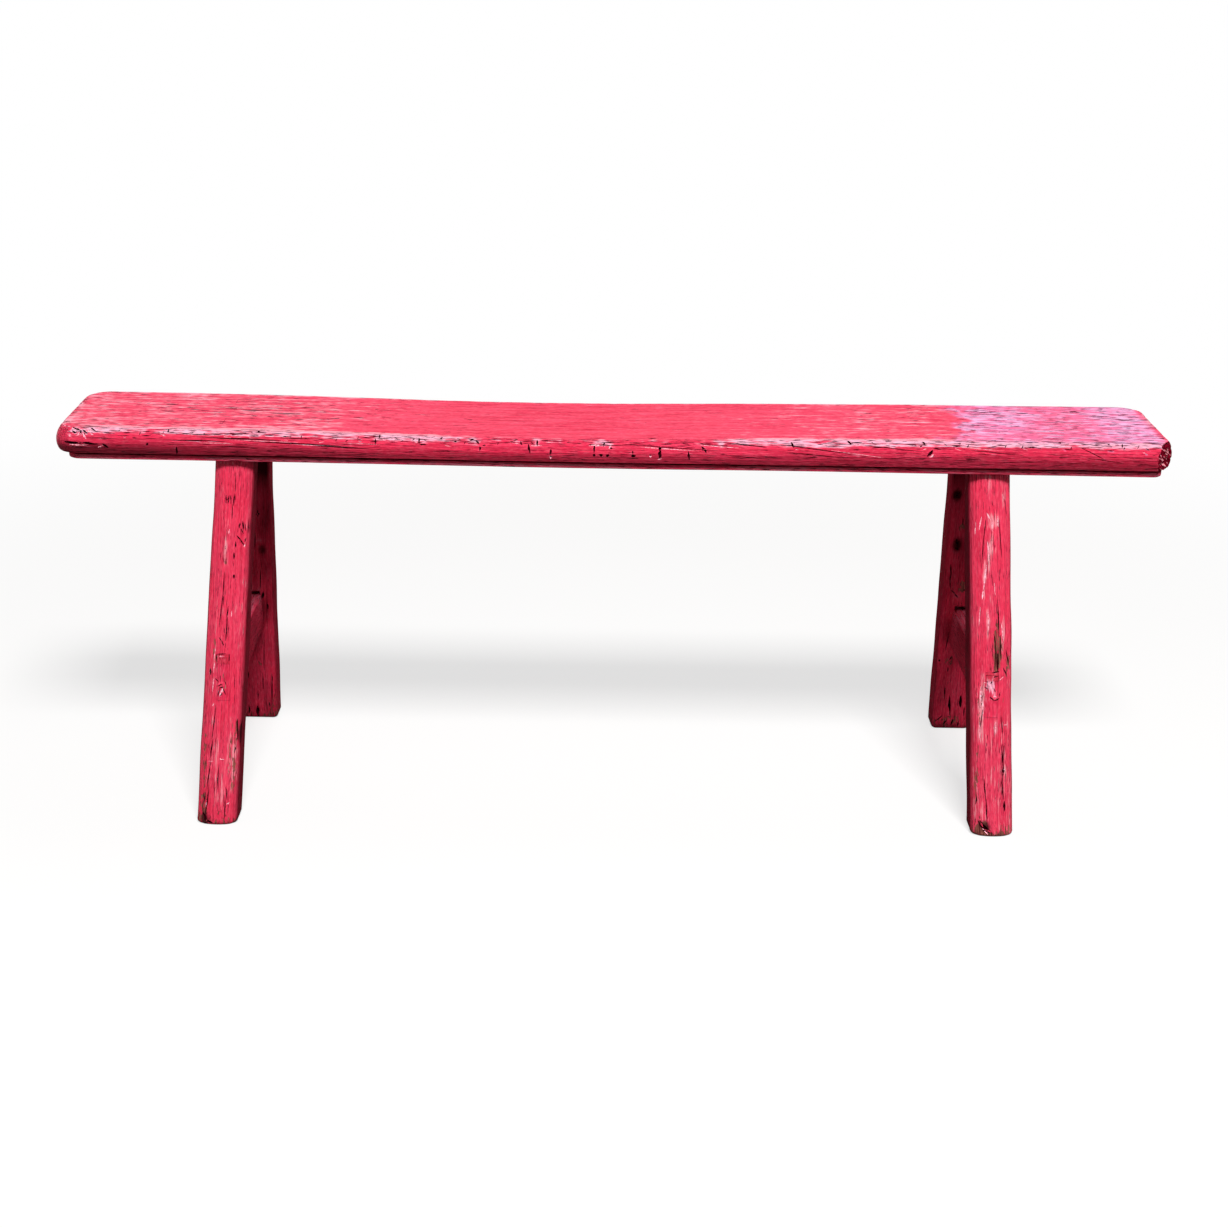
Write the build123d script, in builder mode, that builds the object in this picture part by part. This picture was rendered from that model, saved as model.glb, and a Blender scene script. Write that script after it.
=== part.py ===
from build123d import *
import os

# A long, narrow plank bench of the village kind: one thick seat board with a moulded edge,
# four hewn legs that splay outwards and lean along the seat, and a cross rail at each end.
# Millimetres, +Z up. The origin is on the floor under the middle of the seat, X runs along
# the seat and -Y is the front.

# ---- Seat board ----
seat_length = 1400.0
seat_width = 200.0
seat_thickness = 42.0
seat_height = 492.0  # floor to the top of the seat
seat_corner = 26.0  # rounding of the four corners, seen from above
hollow_length = 1240.0  # stretch of the top that use has worn hollow
hollow_depth = 4.5

# ---- Moulded edge of the seat board ----
chamfer_reach = 8.5  # worn chamfer along the top edge: how far it reaches in
chamfer_drop = 6.0  # and how far it drops
nose_bulge = 4.0  # the round nose swells out this far between chamfer and groove
groove_height = 2.5
groove_depth = 11.0  # in from the fullest point of the nose
lip_height = 5.5  # plain band along the bottom
lip_setback = 8.5

# ---- Legs ----
left_leg_inset = 220.0  # end of the seat to the middle of a left leg, under the seat
right_leg_inset = 230.0
leg_lean = 20.0  # how much farther along the seat a foot stands than the leg's top
leg_spread_top = 122.0  # between the middles of a front and a back leg, under the seat
leg_spread_foot = 356.0  # and at the floor
leg_width_top = 51.0
leg_width_foot = 55.0
leg_depth_top = 44.0
leg_depth_foot = 47.0
leg_crown = 4.0  # swell of the face that looks away from the bench
leg_outer_chamfer = 8.0
leg_inner_chamfer = 4.0
foot_chamfer = 4.0

# ---- Tenons that carry the seat, and the wedges that hold them ----
leg_tenon_width = 34.0  # along the seat
leg_tenon_depth = 24.0  # across the seat
leg_wedge_top = 5.0  # thickness where it was struck
leg_wedge_tip = 1.5
leg_wedge_length = 30.0

# ---- Cross rails, their tenons and the wedges driven in over them ----
left_rail_top = 206.0  # floor to the rail's top edge
right_rail_top = 200.0
rail_height = 54.0
rail_thickness = 20.0
rail_edge_chamfer = 2.5
rail_tenon_thickness = 16.0
rail_tenon_shoulder = 4.0  # step under the tenon
rail_tenon_reveal = 1.0  # its end stands this far inside the swell of the leg
rail_mortise_rise = 6.0  # the mortise is cut this much higher than the rail
rail_wedge_fall = 6.0  # the tenon's top slopes down this much towards its end
rail_wedge_length = 34.0

# ---- Clearance of every tenon and wedge in its seat, on each side ----
fit_gap = 0.1

seat_underside = seat_height - seat_thickness
cut_over = 10.0  # how far cutting shapes reach past what they cut

LEFT, RIGHT = -1, 1
FRONT, BACK = -1, 1
side_names = {LEFT: "left", RIGHT: "right"}
row_names = {FRONT: "front", BACK: "back"}
corners = [(side, row) for side in (LEFT, RIGHT) for row in (FRONT, BACK)]


# ---- Where a leg is at a given height ----
def between(top, foot, height):
    """Value that runs straight from the leg's top, under the seat, to its foot."""
    return top + (foot - top) * (seat_underside - height) / seat_underside


def leg_x(side, height):
    inset = left_leg_inset if side == LEFT else right_leg_inset
    top = seat_length / 2 - inset
    return side * between(top, top + leg_lean, height)


def leg_reach(height):
    """From the bench's long middle line to the middle of a leg."""
    return between(leg_spread_top, leg_spread_foot, height) / 2


def leg_inner_reach(height):
    return leg_reach(height) - between(leg_depth_top, leg_depth_foot, height) / 2


def leg_outer_reach(height):
    return leg_reach(height) + between(leg_depth_top, leg_depth_foot, height) / 2


def leg_plane(side, row, height):
    """Level plane through a leg, with its own +Y looking away from the bench."""
    centre = (leg_x(side, height), row * leg_reach(height), height)
    return Plane(origin=centre, x_dir=(row, 0, 0), z_dir=(0, 0, 1))


def leg_axis(side, row):
    """Direction in which a leg and its tenon rise."""
    foot = leg_plane(side, row, 0).origin
    top = leg_plane(side, row, seat_underside).origin
    return (top - foot).normalized()


# ---- Where a rail is ----
def rail_top(side):
    return left_rail_top if side == LEFT else right_rail_top


def rail_bottom(side):
    return rail_top(side) - rail_height


def rail_plane(side):
    """Upright plane along the middle of a rail: its own X is the bench's Y, its Y is up."""
    return Plane.YZ.offset(leg_x(side, rail_top(side) - rail_height / 2))


def rail_tenon_end(height):
    return leg_outer_reach(height) - rail_tenon_reveal


def rail_tenon_slope(side, reach):
    """Height of the rail tenon's sloping top, this far from the bench's middle line."""
    start = leg_inner_reach(rail_top(side))
    end = rail_tenon_end(rail_top(side))
    return rail_top(side) - rail_wedge_fall * (reach - start) / (end - start)


# ---- Shapes that more than one piece needs ----
with BuildPart() as worn_hollow:
    with BuildSketch(Plane.XZ):
        with BuildLine():
            half_length = hollow_length / 2
            worn = ThreePointArc(
                (-half_length, seat_height),
                (0, seat_height - hollow_depth),
                (half_length, seat_height),
            )
            Polyline(
                worn @ 1,
                (half_length, seat_height + cut_over),
                (-half_length, seat_height + cut_over),
                worn @ 0,
            )
        make_face()
    extrude(amount=seat_width / 2 + cut_over, both=True)


def leg_tenon(side, row, gap, rise):
    """A leg's tenon or, with a gap, its mortise in the seat. It rises this far above the underside."""
    axis = leg_axis(side, row)
    with BuildPart() as tenon:
        with BuildSketch(leg_plane(side, row, seat_underside)):
            Rectangle(leg_tenon_width + 2 * gap, leg_tenon_depth + 2 * gap)
        extrude(amount=rise / axis.Z, dir=axis)
    return tenon.part


def leg_wedge(side, row, gap, overlap):
    """The wedge in a leg's tenon or, with a gap and an overlap, the slot that is sawn for it."""
    axis = leg_axis(side, row)
    top_centre = leg_plane(side, row, seat_height).origin
    along_seat = Vector(1, 0, 0)
    face = Plane(origin=top_centre, x_dir=along_seat, z_dir=along_seat.cross(axis))
    flare = (leg_wedge_top - leg_wedge_tip) / 2 * cut_over / leg_wedge_length
    half_top = leg_wedge_top / 2 + flare + gap
    half_tip = leg_wedge_tip / 2 + gap
    tip = -leg_wedge_length - gap
    half_across = leg_tenon_depth / 2 * face.z_dir.cross(along_seat).Z
    with BuildPart() as wedge:
        with BuildSketch(face):
            with BuildLine():
                Polyline(
                    (-half_top, cut_over), (-half_tip, tip), (half_tip, tip), (half_top, cut_over),
                    close=True,
                )
            make_face()
        extrude(amount=half_across + overlap, both=True)
        split(bisect_by=Plane.XY.offset(seat_height + overlap), keep=Keep.BOTTOM)
    return wedge.part


# ---- Seat board ----
with BuildPart() as seat_plank:
    with BuildSketch(Plane.XY.offset(seat_underside)) as seat_outline:
        RectangleRounded(seat_length, seat_width, seat_corner)
    extrude(amount=seat_thickness)

    # The moulding is cut by one profile that runs round the whole outline. In the profile,
    # X is the distance in from the outline and Y the height above the underside.
    rim = seat_outline.sketch.wire()
    nose_foot = lip_height + groove_height
    nose_head = seat_thickness - chamfer_drop
    with BuildSketch(Plane(rim @ 0, x_dir=Vector(0, 0, 1).cross(rim % 0), z_dir=rim % 0)):
        with BuildLine():
            nose = ThreePointArc(
                (nose_bulge, nose_head), (0, (nose_head + nose_foot) / 2), (nose_bulge, nose_foot)
            )
            Polyline(
                nose @ 1,
                (groove_depth, lip_height + groove_height / 2),
                (lip_setback, lip_height),
                (lip_setback, -cut_over),
                (-cut_over, -cut_over),
                (-cut_over, seat_thickness + cut_over),
                (chamfer_reach, seat_thickness + cut_over),
                (chamfer_reach, seat_thickness),
                nose @ 0,
            )
        make_face()
    sweep(path=rim, mode=Mode.SUBTRACT)

    add(worn_hollow.part, mode=Mode.SUBTRACT)
    for side, row in corners:
        add(leg_tenon(side, row, fit_gap, seat_thickness + cut_over), mode=Mode.SUBTRACT)


# ---- Legs ----
def leg_outline(height):
    """A leg's level outline: a crowned outer face and four chamfered corners."""
    half_width = between(leg_width_top, leg_width_foot, height) / 2
    half_depth = between(leg_depth_top, leg_depth_foot, height) / 2
    crown_edge = half_depth - leg_crown
    with BuildSketch() as outline:
        with BuildLine():
            crown = ThreePointArc(
                (leg_outer_chamfer - half_width, crown_edge),
                (0, half_depth),
                (half_width - leg_outer_chamfer, crown_edge),
            )
            Polyline(
                crown @ 1,
                (half_width, crown_edge - leg_outer_chamfer),
                (half_width, leg_inner_chamfer - half_depth),
                (half_width - leg_inner_chamfer, -half_depth),
                (leg_inner_chamfer - half_width, -half_depth),
                (-half_width, leg_inner_chamfer - half_depth),
                (-half_width, crown_edge - leg_outer_chamfer),
                crown @ 0,
            )
        make_face()
    return outline.sketch


def make_leg(side, row):
    tenon = leg_tenon(side, row, 0, seat_thickness)
    wedge_slot = leg_wedge(side, row, fit_gap, cut_over)
    mortise_foot = rail_bottom(side) + rail_tenon_shoulder - fit_gap
    mortise_head = rail_top(side) + rail_mortise_rise
    with BuildPart() as leg:
        for height in (0, seat_underside):
            with BuildSketch(leg_plane(side, row, height)):
                add(leg_outline(height))
        loft(ruled=True)
        sole = leg.faces().sort_by(Axis.Z)[0]
        chamfer(sole.edges(), length=foot_chamfer)

        add(tenon)
        add(worn_hollow.part, mode=Mode.SUBTRACT)
        add(wedge_slot, mode=Mode.SUBTRACT)

        with BuildSketch(rail_plane(side)):
            inner = leg_inner_reach(mortise_head) - cut_over
            outer = leg_outer_reach(mortise_foot) + cut_over
            with Locations((row * (inner + outer) / 2, (mortise_head + mortise_foot) / 2)):
                Rectangle(outer - inner, mortise_head - mortise_foot)
        extrude(amount=rail_tenon_thickness / 2 + fit_gap, both=True, mode=Mode.SUBTRACT)
    return leg


def make_leg_wedge(side, row):
    with BuildPart() as wedge:
        add(leg_wedge(side, row, 0, 0))
        add(worn_hollow.part, mode=Mode.SUBTRACT)
    return wedge


# ---- Cross rails ----
def make_rail(side):
    top = rail_top(side)
    bottom = rail_bottom(side)
    tenon_foot = bottom + rail_tenon_shoulder
    tip_reach = rail_tenon_end(top)
    with BuildPart() as rail:
        # The board between the legs, with ends cut to the slope of the legs' inner faces.
        with BuildSketch(rail_plane(side)):
            with BuildLine():
                Polyline(
                    (-leg_inner_reach(bottom), bottom), (leg_inner_reach(bottom), bottom),
                    (leg_inner_reach(top), top), (-leg_inner_reach(top), top),
                    close=True,
                )
            make_face()
        extrude(amount=rail_thickness / 2, both=True)
        long_edges = rail.edges().filter_by(Axis.Y)
        chamfer(long_edges, length=rail_edge_chamfer)

        # A tenon at each end, whose top falls away to take the wedge.
        with BuildSketch(rail_plane(side)):
            for row in (FRONT, BACK):
                with BuildLine():
                    Polyline(
                        (0, tenon_foot),
                        (row * rail_tenon_end(tenon_foot), tenon_foot),
                        (row * tip_reach, top - rail_wedge_fall),
                        (row * leg_inner_reach(top), top),
                        (row * leg_inner_reach(top), top - rail_edge_chamfer),
                        (0, top - rail_edge_chamfer),
                        close=True,
                    )
                make_face()
        extrude(amount=rail_tenon_thickness / 2, both=True)
    return rail


def make_rail_wedge(side, row):
    """Fills the outer part of the mortise over the tenon and stops short of the inner face."""
    head = rail_top(side) + rail_mortise_rise - fit_gap
    outer = rail_tenon_end(head)
    tip = rail_tenon_end(rail_top(side)) - rail_wedge_length
    with BuildPart() as wedge:
        with BuildSketch(rail_plane(side)):
            with BuildLine():
                Polyline(
                    (row * outer, head),
                    (row * rail_tenon_end(rail_top(side)), rail_top(side) - rail_wedge_fall + fit_gap),
                    (row * tip, rail_tenon_slope(side, tip) + fit_gap),
                    (row * tip, head),
                    close=True,
                )
            make_face()
        extrude(amount=rail_tenon_thickness / 2, both=True)
    return wedge


# ---- Labels and files ----
pieces = {"seat_plank": seat_plank}
for side, row in corners:
    corner_name = f"{row_names[row]}_{side_names[side]}"
    pieces[f"{corner_name}_leg"] = make_leg(side, row)
    pieces[f"{corner_name}_leg_wedge"] = make_leg_wedge(side, row)
    pieces[f"{corner_name}_rail_wedge"] = make_rail_wedge(side, row)
for side in (LEFT, RIGHT):
    pieces[f"{side_names[side]}_cross_rail"] = make_rail(side)

os.makedirs("parts", exist_ok=True)
for name, piece in pieces.items():
    piece.part.label = name
    export_step(piece.part, f"parts/{name}.step")
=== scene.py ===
# %% [markdown]
# # A red painted plank bench
# This is a village bench of the plainest kind. One thick board with a moulded edge is the
# seat, four hewn legs reach right through it with wedged tenons, and a cross rail ties each
# pair of legs. Many coats of red gloss paint cover everything, and long use has worn it.
# The joiner's work is already packed as solids; here the same pieces are made again as old
# wood with all its dents, so first those solids are loaded.

# %% The imported frame
import bpy
import bmesh
import random
from math import cos, pi, radians, sin
from mathutils import Matrix, Vector, noise
from mathutils.kdtree import KDTree


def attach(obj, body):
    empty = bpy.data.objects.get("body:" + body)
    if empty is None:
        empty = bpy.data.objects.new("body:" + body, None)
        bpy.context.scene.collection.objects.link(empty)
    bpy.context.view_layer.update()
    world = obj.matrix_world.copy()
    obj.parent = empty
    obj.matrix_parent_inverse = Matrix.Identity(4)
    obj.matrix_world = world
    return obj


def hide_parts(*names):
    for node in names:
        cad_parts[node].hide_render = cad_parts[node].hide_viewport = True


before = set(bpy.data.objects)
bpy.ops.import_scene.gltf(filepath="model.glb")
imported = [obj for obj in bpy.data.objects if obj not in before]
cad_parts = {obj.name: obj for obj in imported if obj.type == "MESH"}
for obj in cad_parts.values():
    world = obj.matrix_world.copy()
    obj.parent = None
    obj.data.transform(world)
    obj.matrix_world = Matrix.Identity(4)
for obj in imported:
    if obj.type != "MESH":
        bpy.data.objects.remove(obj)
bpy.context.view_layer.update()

# %% [markdown]
# Blender works in metres, but a joiner thinks in millimetres, so every size below is written
# in mm and turned by one factor. Operators act on whatever is selected, and loading leaves
# the solids selected, so each new piece starts from an empty selection.

# %% Millimetres and selection
mm = 0.001


def clear_selection():
    bpy.ops.object.select_all(action="DESELECT")


def take(*pieces):
    """Selects these objects alone; the first one is the active one."""
    clear_selection()
    for piece in pieces:
        piece.select_set(True)
    bpy.context.view_layer.objects.active = pieces[0]


def edit(piece):
    """Opens a piece for shaping, with nothing in it selected."""
    take(piece)
    bpy.ops.object.mode_set(mode="EDIT")
    bpy.ops.mesh.select_all(action="DESELECT")


def done_editing():
    bpy.ops.object.mode_set(mode="OBJECT")


def face_outwards():
    """Selects all of the piece that is being edited and turns its faces to the outside."""
    bpy.ops.mesh.select_all(action="SELECT")
    bpy.ops.mesh.normals_make_consistent(inside=False)


def copy_of(piece, name):
    """A copy of a piece, with a mesh of its own."""
    twin = piece.copy()
    twin.data = piece.data.copy()
    twin.name = name
    bpy.context.scene.collection.objects.link(twin)
    return twin


clear_selection()
print("one millimetre is", mm, "of Blender's units")

# %% [markdown]
# The bench is seen a little from above, by someone standing about two and a half metres off.
# A lens of 62 mm keeps the long board from bulging towards the viewer. The camera hangs very
# slightly askew, as one held in the hand does, so its turn is built from yaw, pitch and roll.

# %% Camera
camera_data = bpy.data.cameras.new("hand_camera")
camera_data.sensor_width = 36
camera_data.lens = 61.8
camera = bpy.data.objects.new("hand_camera", camera_data)
bpy.context.scene.collection.objects.link(camera)
camera.location = (-0.0322, -2.6369, 1.1740)
yaw = radians(0.75)
pitch = radians(19.83)
roll = radians(1.21)
level_look = Matrix.Rotation(radians(90) - pitch, 3, "X")
camera_turn = Matrix.Rotation(-yaw, 3, "Z") @ level_look @ Matrix.Rotation(roll, 3, "Z")
camera.rotation_euler = camera_turn.to_euler()
bpy.context.scene.camera = camera
print("camera stands at", tuple(round(value, 3) for value in camera.location))

# %% [markdown]
# Colours are chosen as sRGB hex values, the way a paint chart gives them. Shaders count in
# linear light, so one function turns them. A second small function adds a node with its
# settings, its plain values and its links, and every material below is built with it.

# %% Colours and nodes
def linear(hex_colour):
    """A hex colour as the four linear numbers that a shader socket takes."""
    channels = []
    for start in (0, 2, 4):
        value = int(hex_colour[start:start + 2], 16) / 255
        channels.append(value / 12.92 if value <= 0.04045 else ((value + 0.055) / 1.055) ** 2.4)
    return (*channels, 1.0)


def add_node(tree, kind, values=None, links=None, **settings):
    """Adds one node; values and links are given by the input's name or number."""
    node = tree.nodes.new(kind)
    for setting, value in settings.items():
        setattr(node, setting, value)
    for entry, value in (values or {}).items():
        node.inputs[entry].default_value = value
    for entry, source in (links or {}).items():
        tree.links.new(source, node.inputs[entry])
    return node


def empty_tree(owner):
    """The cleared node tree of a material or world."""
    owner.use_nodes = True
    owner.node_tree.nodes.clear()
    return owner.node_tree


print("pure red turns into", linear("FF0000"))

# %% [markdown]
# The studio is a pale floor that runs out of sight. Close to the bench it is partly a real
# matt surface, so that a soft shadow lies on it, and further out it fades to plain white.
# Light that bounces off it reaches only the underside of the bench; there it acts as a
# darker floor, because under a real bench outdoors the ground is dark too.

# %% Pale floor
floor_size = 60
fade_start = 0.9  # metres from the middle of the bench
fade_end = 2.2


def looked_at(tree):
    """1 for rays from the camera, a gloss or glass, and 0 for those that only carry light."""
    ray = add_node(tree, "ShaderNodeLightPath")
    seen = ray.outputs["Is Camera Ray"]
    for other in ("Is Glossy Ray", "Is Transmission Ray"):
        seen = add_node(tree, "ShaderNodeMath", links={0: seen, 1: ray.outputs[other]},
                        operation="MAXIMUM").outputs[0]
    return seen


clear_selection()
bpy.ops.mesh.primitive_plane_add(size=floor_size, location=(0, 0, 0))
floor = bpy.context.object
floor.name = "pale_floor"

pale_lino = bpy.data.materials.new("matt_pale_lino")
tree = empty_tree(pale_lino)
where = add_node(tree, "ShaderNodeTexCoord").outputs["Object"]
distance = add_node(tree, "ShaderNodeVectorMath", links={0: where}, operation="LENGTH").outputs["Value"]
fade = add_node(tree, "ShaderNodeMapRange", {"From Min": fade_start, "From Max": fade_end},
                {"Value": distance}, interpolation_type="SMOOTHSTEP").outputs["Result"]
matt_floor = add_node(tree, "ShaderNodeBsdfDiffuse", {"Color": linear("F4F2F0")}).outputs[0]
far_floor = add_node(tree, "ShaderNodeEmission", {"Color": linear("FFFFFF"), "Strength": 1.0}).outputs[0]
# Near the bench 3 parts in 10 of the floor are matt, so that the shadow on it stays pale.
near_floor = add_node(tree, "ShaderNodeMixShader", {0: 0.7}, {1: matt_floor, 2: far_floor}).outputs[0]
seen_floor = add_node(tree, "ShaderNodeMixShader", links={0: fade, 1: near_floor, 2: far_floor}).outputs[0]
bounce_floor = add_node(tree, "ShaderNodeBsdfDiffuse", {"Color": linear("948E8C")}).outputs[0]
surface = add_node(tree, "ShaderNodeMixShader",
                   links={0: looked_at(tree), 1: bounce_floor, 2: seen_floor}).outputs[0]
add_node(tree, "ShaderNodeOutputMaterial", links={"Surface": surface})
floor.data.materials.append(pale_lino)
print("floor:", floor.dimensions[:])

# %% [markdown]
# Two soft boxes light the bench. The strong one hangs in front and high up, and does nearly
# all the work. The other is very weak, and lies above and a little behind: it only lifts the
# flat of the top and helps the gleam on its worn edge. The world around is white to look at
# but gives only a weak fill, so that the inner sides of the legs stay in shade.

# %% Soft boxes and surroundings
def soft_box(name, place, aim, size, power):
    """A rectangular area lamp that looks from its place to its aim."""
    clear_selection()
    bpy.ops.object.light_add(type="AREA", location=place)
    lamp = bpy.context.object
    lamp.name = name
    lamp.rotation_euler = (Vector(aim) - Vector(place)).to_track_quat("-Z", "Y").to_euler()
    lamp.data.shape = "RECTANGLE"
    lamp.data.size = size[0]
    lamp.data.size_y = size[1]
    lamp.data.energy = power
    print(name, "gives", power, "W")
    return lamp


soft_box("front_soft_box", (0.75, -4.04, 6.0), (0, 0, 0.35), (2.2, 1.5), 640)
soft_box("overhead_soft_box", (0.3, 1.1, 2.9), (0, 0, 0.49), (3.0, 1.0), 8)

surroundings = bpy.data.worlds.new("white_surroundings")
bpy.context.scene.world = surroundings
tree = empty_tree(surroundings)
weak_fill = 0.08
strength = add_node(tree, "ShaderNodeMapRange", {"To Min": weak_fill, "To Max": 1.0},
                    {"Value": looked_at(tree)})
white = add_node(tree, "ShaderNodeBackground", {"Color": linear("FFFFFF")},
                 {"Strength": strength.outputs["Result"]})
add_node(tree, "ShaderNodeOutputWorld", links={"Surface": white.outputs[0]})
bpy.context.scene.view_settings.view_transform = "Standard"

# %% [markdown]
# The paint is a red gloss enamel that was brushed on in many coats. Under it the weathered
# grain of the board still shows, and every ridge that hands and clothes have rubbed has gone
# pale. Each piece carries a few numbers at its points, painted on later like make-up:
# *grain* says where a point lies with X along the fibres, *worn* where the gloss is rubbed
# pale and, in some places, where a highlight is painted in, *bare* where the paint has flaked
# off to old wood, *dirt_and_shade* where dirt and painted shade make it dark, *checked* where
# it has split along the fibres, and *bloom_and_sheen* where the sun has turned it to a lilac
# chalk and where a painted sheen of the sky lies on it.

# %% Sizes of the figures in the paint, in mm along and across the fibres
figures = {
    "brush_marks": (60, 1.3),
    "year_rings": (100, 2.0),
    "pores": (18, 0.9),
    "grit": (15, 1.2),
    "fading": (60, 16),
    "flakes": (11, 3.2),
    "chalk": (28, 1.7),
    "crackle": (7, 1.3),
}
# Real pores, grit and crackle are finer than half a millimetre and would not show, so here
# they are drawn as coarse as they need to be to show.
distortion = {"flakes": 0.8, "chalk": 0.3}
print("figures:", list(figures))


# %% Old enamel, brushed along the grain
def brushed_enamel(name, deep, bright, faded, rubbed, wood, gloss, shine):
    """Old red enamel, brushed along the grain. Deep and bright are the paint in the hollows and on the
    ridges, faded where the sun had it, and rubbed where hands did and where highlights are painted
    in; wood is the bare board.
    Gloss is the roughness of whole paint, and shine how much it reflects."""
    paint = bpy.data.materials.new(name)
    tree = empty_tree(paint)
    grain = add_node(tree, "ShaderNodeAttribute", attribute_name="grain").outputs["Vector"]
    figure = {}
    for title, (length, width) in figures.items():
        laid = add_node(tree, "ShaderNodeMapping", {"Scale": (1000 / length, 1000 / width, 1000 / width)},
                        {"Vector": grain}, vector_type="POINT").outputs[0]
        cloud = add_node(tree, "ShaderNodeTexNoise",
                         {"Scale": 1.0, "Detail": 3.0, "Roughness": 0.55,
                          "Distortion": distortion.get(title, 0.0)},
                         {"Vector": laid}).outputs["Fac"]
        figure[title] = add_node(tree, "ShaderNodeMapRange", {"From Min": 0.32, "From Max": 0.68},
                                 {"Value": cloud}).outputs["Result"]
    figure["rubbing"] = add_node(tree, "ShaderNodeMix", {0: 0.5},
                                 {2: figure["year_rings"], 3: figure["grit"]}, data_type="FLOAT").outputs[0]

    painted = {}
    for title in ("worn", "bare", "dirt_and_shade", "bloom_and_sheen", "checked"):
        painted[title] = add_node(tree, "ShaderNodeAttribute", attribute_name=title).outputs["Fac"]

    # The wear only breaks through where a figure is high: the more worn, the more of it.
    broken = {}
    breaks = {
        "worn": ("rubbing", 0.45),
        "bare": ("flakes", 0.2),
        "bloom_and_sheen": ("chalk", 0.5),
        "checked": ("pores", 0.12),
    }
    for title, (by, softness) in breaks.items():
        total = add_node(tree, "ShaderNodeMath", links={0: painted[title], 1: figure[by]}).outputs[0]
        broken[title] = add_node(tree, "ShaderNodeMapRange",
                                 {"From Min": 1.0, "From Max": 1.0 + softness}, {"Value": total},
                                 interpolation_type="SMOOTHSTEP").outputs["Result"]

    # What each figure adds to the tone of the paint, and to its height in mm
    tone = relief = add_node(tree, "ShaderNodeValue").outputs[0]
    added = (("brush_marks", 0.48, 0.3), ("year_rings", 0.56, 0.8), ("grit", 0.26, 0.3))
    for title, in_tone, in_relief in added:
        tone = add_node(tree, "ShaderNodeMath", {1: in_tone}, {0: figure[title], 2: tone},
                        operation="MULTIPLY_ADD").outputs[0]
        relief = add_node(tree, "ShaderNodeMath", {1: in_relief}, {0: figure[title], 2: relief},
                          operation="MULTIPLY_ADD").outputs[0]
    for title, height in (("checked", -0.6), ("bare", -0.4)):
        relief = add_node(tree, "ShaderNodeMath", {1: height}, {0: broken[title], 2: relief},
                          operation="MULTIPLY_ADD").outputs[0]

    # Bare wood is paler on its ridges. The crackle is dark on one side of its middle, and on the
    # other it is painted pale as tiny glints, a painted highlight.
    bare_ridges = add_node(tree, "ShaderNodeMath", links={0: broken["bare"], 1: figure["brush_marks"]},
                           operation="MULTIPLY").outputs[0]
    painted_glint_crackle, dark_crackle = (
        add_node(tree, "ShaderNodeMapRange", {"From Min": 0.5, "From Max": furthest},
                 {"Value": figure["crackle"]}).outputs["Result"] for furthest in (1.0, 0.0))

    # Coat over coat, from the sun's fading to the dirt and painted shade: where, how strongly, and
    # in what colour. The pale pink coats of worn paint also carry painted highlights and painted
    # light, and the lilac ones a painted sheen.
    coats = [
        (figure["fading"], 0.35, faded),
        (painted["worn"], 0.45, "FC5478"),
        (broken["worn"], 1.0, rubbed),
        (painted["bloom_and_sheen"], 1.0, "F07CB0"),
        (broken["bloom_and_sheen"], 0.8, "EEBCE4"),
        (painted_glint_crackle, 0.12, "FFA2B4"),
        (dark_crackle, 0.16, "84082A"),
        (broken["bare"], 1.0, "4C121A"),
        (bare_ridges, 1.0, wood),
        (broken["checked"], 1.0, "48020F"),
        (painted["dirt_and_shade"], 1.0, "2E0208"),
    ]
    colour = add_node(tree, "ShaderNodeMix", {6: linear(deep), 7: linear(bright)}, {0: tone},
                      data_type="RGBA").outputs[2]
    for where, strength, coat in coats:
        amount = add_node(tree, "ShaderNodeMath", {1: strength}, {0: where},
                          operation="MULTIPLY").outputs[0]
        colour = add_node(tree, "ShaderNodeMix", {7: linear(coat)}, {0: amount, 6: colour},
                          data_type="RGBA").outputs[2]

    # Everything but whole paint is matt.
    rough = add_node(tree, "ShaderNodeMath", {1: 0.2, 2: gloss}, {0: figure["brush_marks"]},
                     operation="MULTIPLY_ADD").outputs[0]
    matt = painted["dirt_and_shade"]
    for title in ("bare", "bloom_and_sheen", "checked"):
        matt = add_node(tree, "ShaderNodeMath", links={0: matt, 1: broken[title]},
                        operation="MAXIMUM").outputs[0]
    rough = add_node(tree, "ShaderNodeMix", {3: 0.85}, {0: matt, 2: rough}, data_type="FLOAT").outputs[0]

    bump = add_node(tree, "ShaderNodeBump", {"Strength": 1.0, "Distance": mm},
                    {"Height": relief}).outputs[0]
    enamel = add_node(tree, "ShaderNodeBsdfPrincipled",
                      {"IOR": 1.5, "Specular IOR Level": shine, "Specular Tint": (1.0, 0.62, 0.78, 1.0)},
                      {"Base Color": colour, "Roughness": rough, "Normal": bump}).outputs[0]
    add_node(tree, "ShaderNodeOutputMaterial", links={"Surface": enamel})
    print(name, "has", len(tree.nodes), "nodes")
    return paint


# Whole paint keeps a soft sheen. Its rubbed ridges are pale pink streaks of colour, which
# also serve as painted highlights.
red_enamel = brushed_enamel("brushed_red_gloss_enamel", deep="A00424", bright="F82E54",
                            faded="F03A60", rubbed="FCB4CC", wood="D88E80", gloss=0.34, shine=0.12)
# On the legs the coat under the red is a warmer, deeper pink, so that the streaks are softer.
leg_enamel = brushed_enamel("brushed_red_enamel_rubbed_on_legs", deep="B00A2C", bright="FA3456",
                            faded="F24A6A", rubbed="F29AA4", wood="BC7262", gloss=0.36, shine=0.12)
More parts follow.
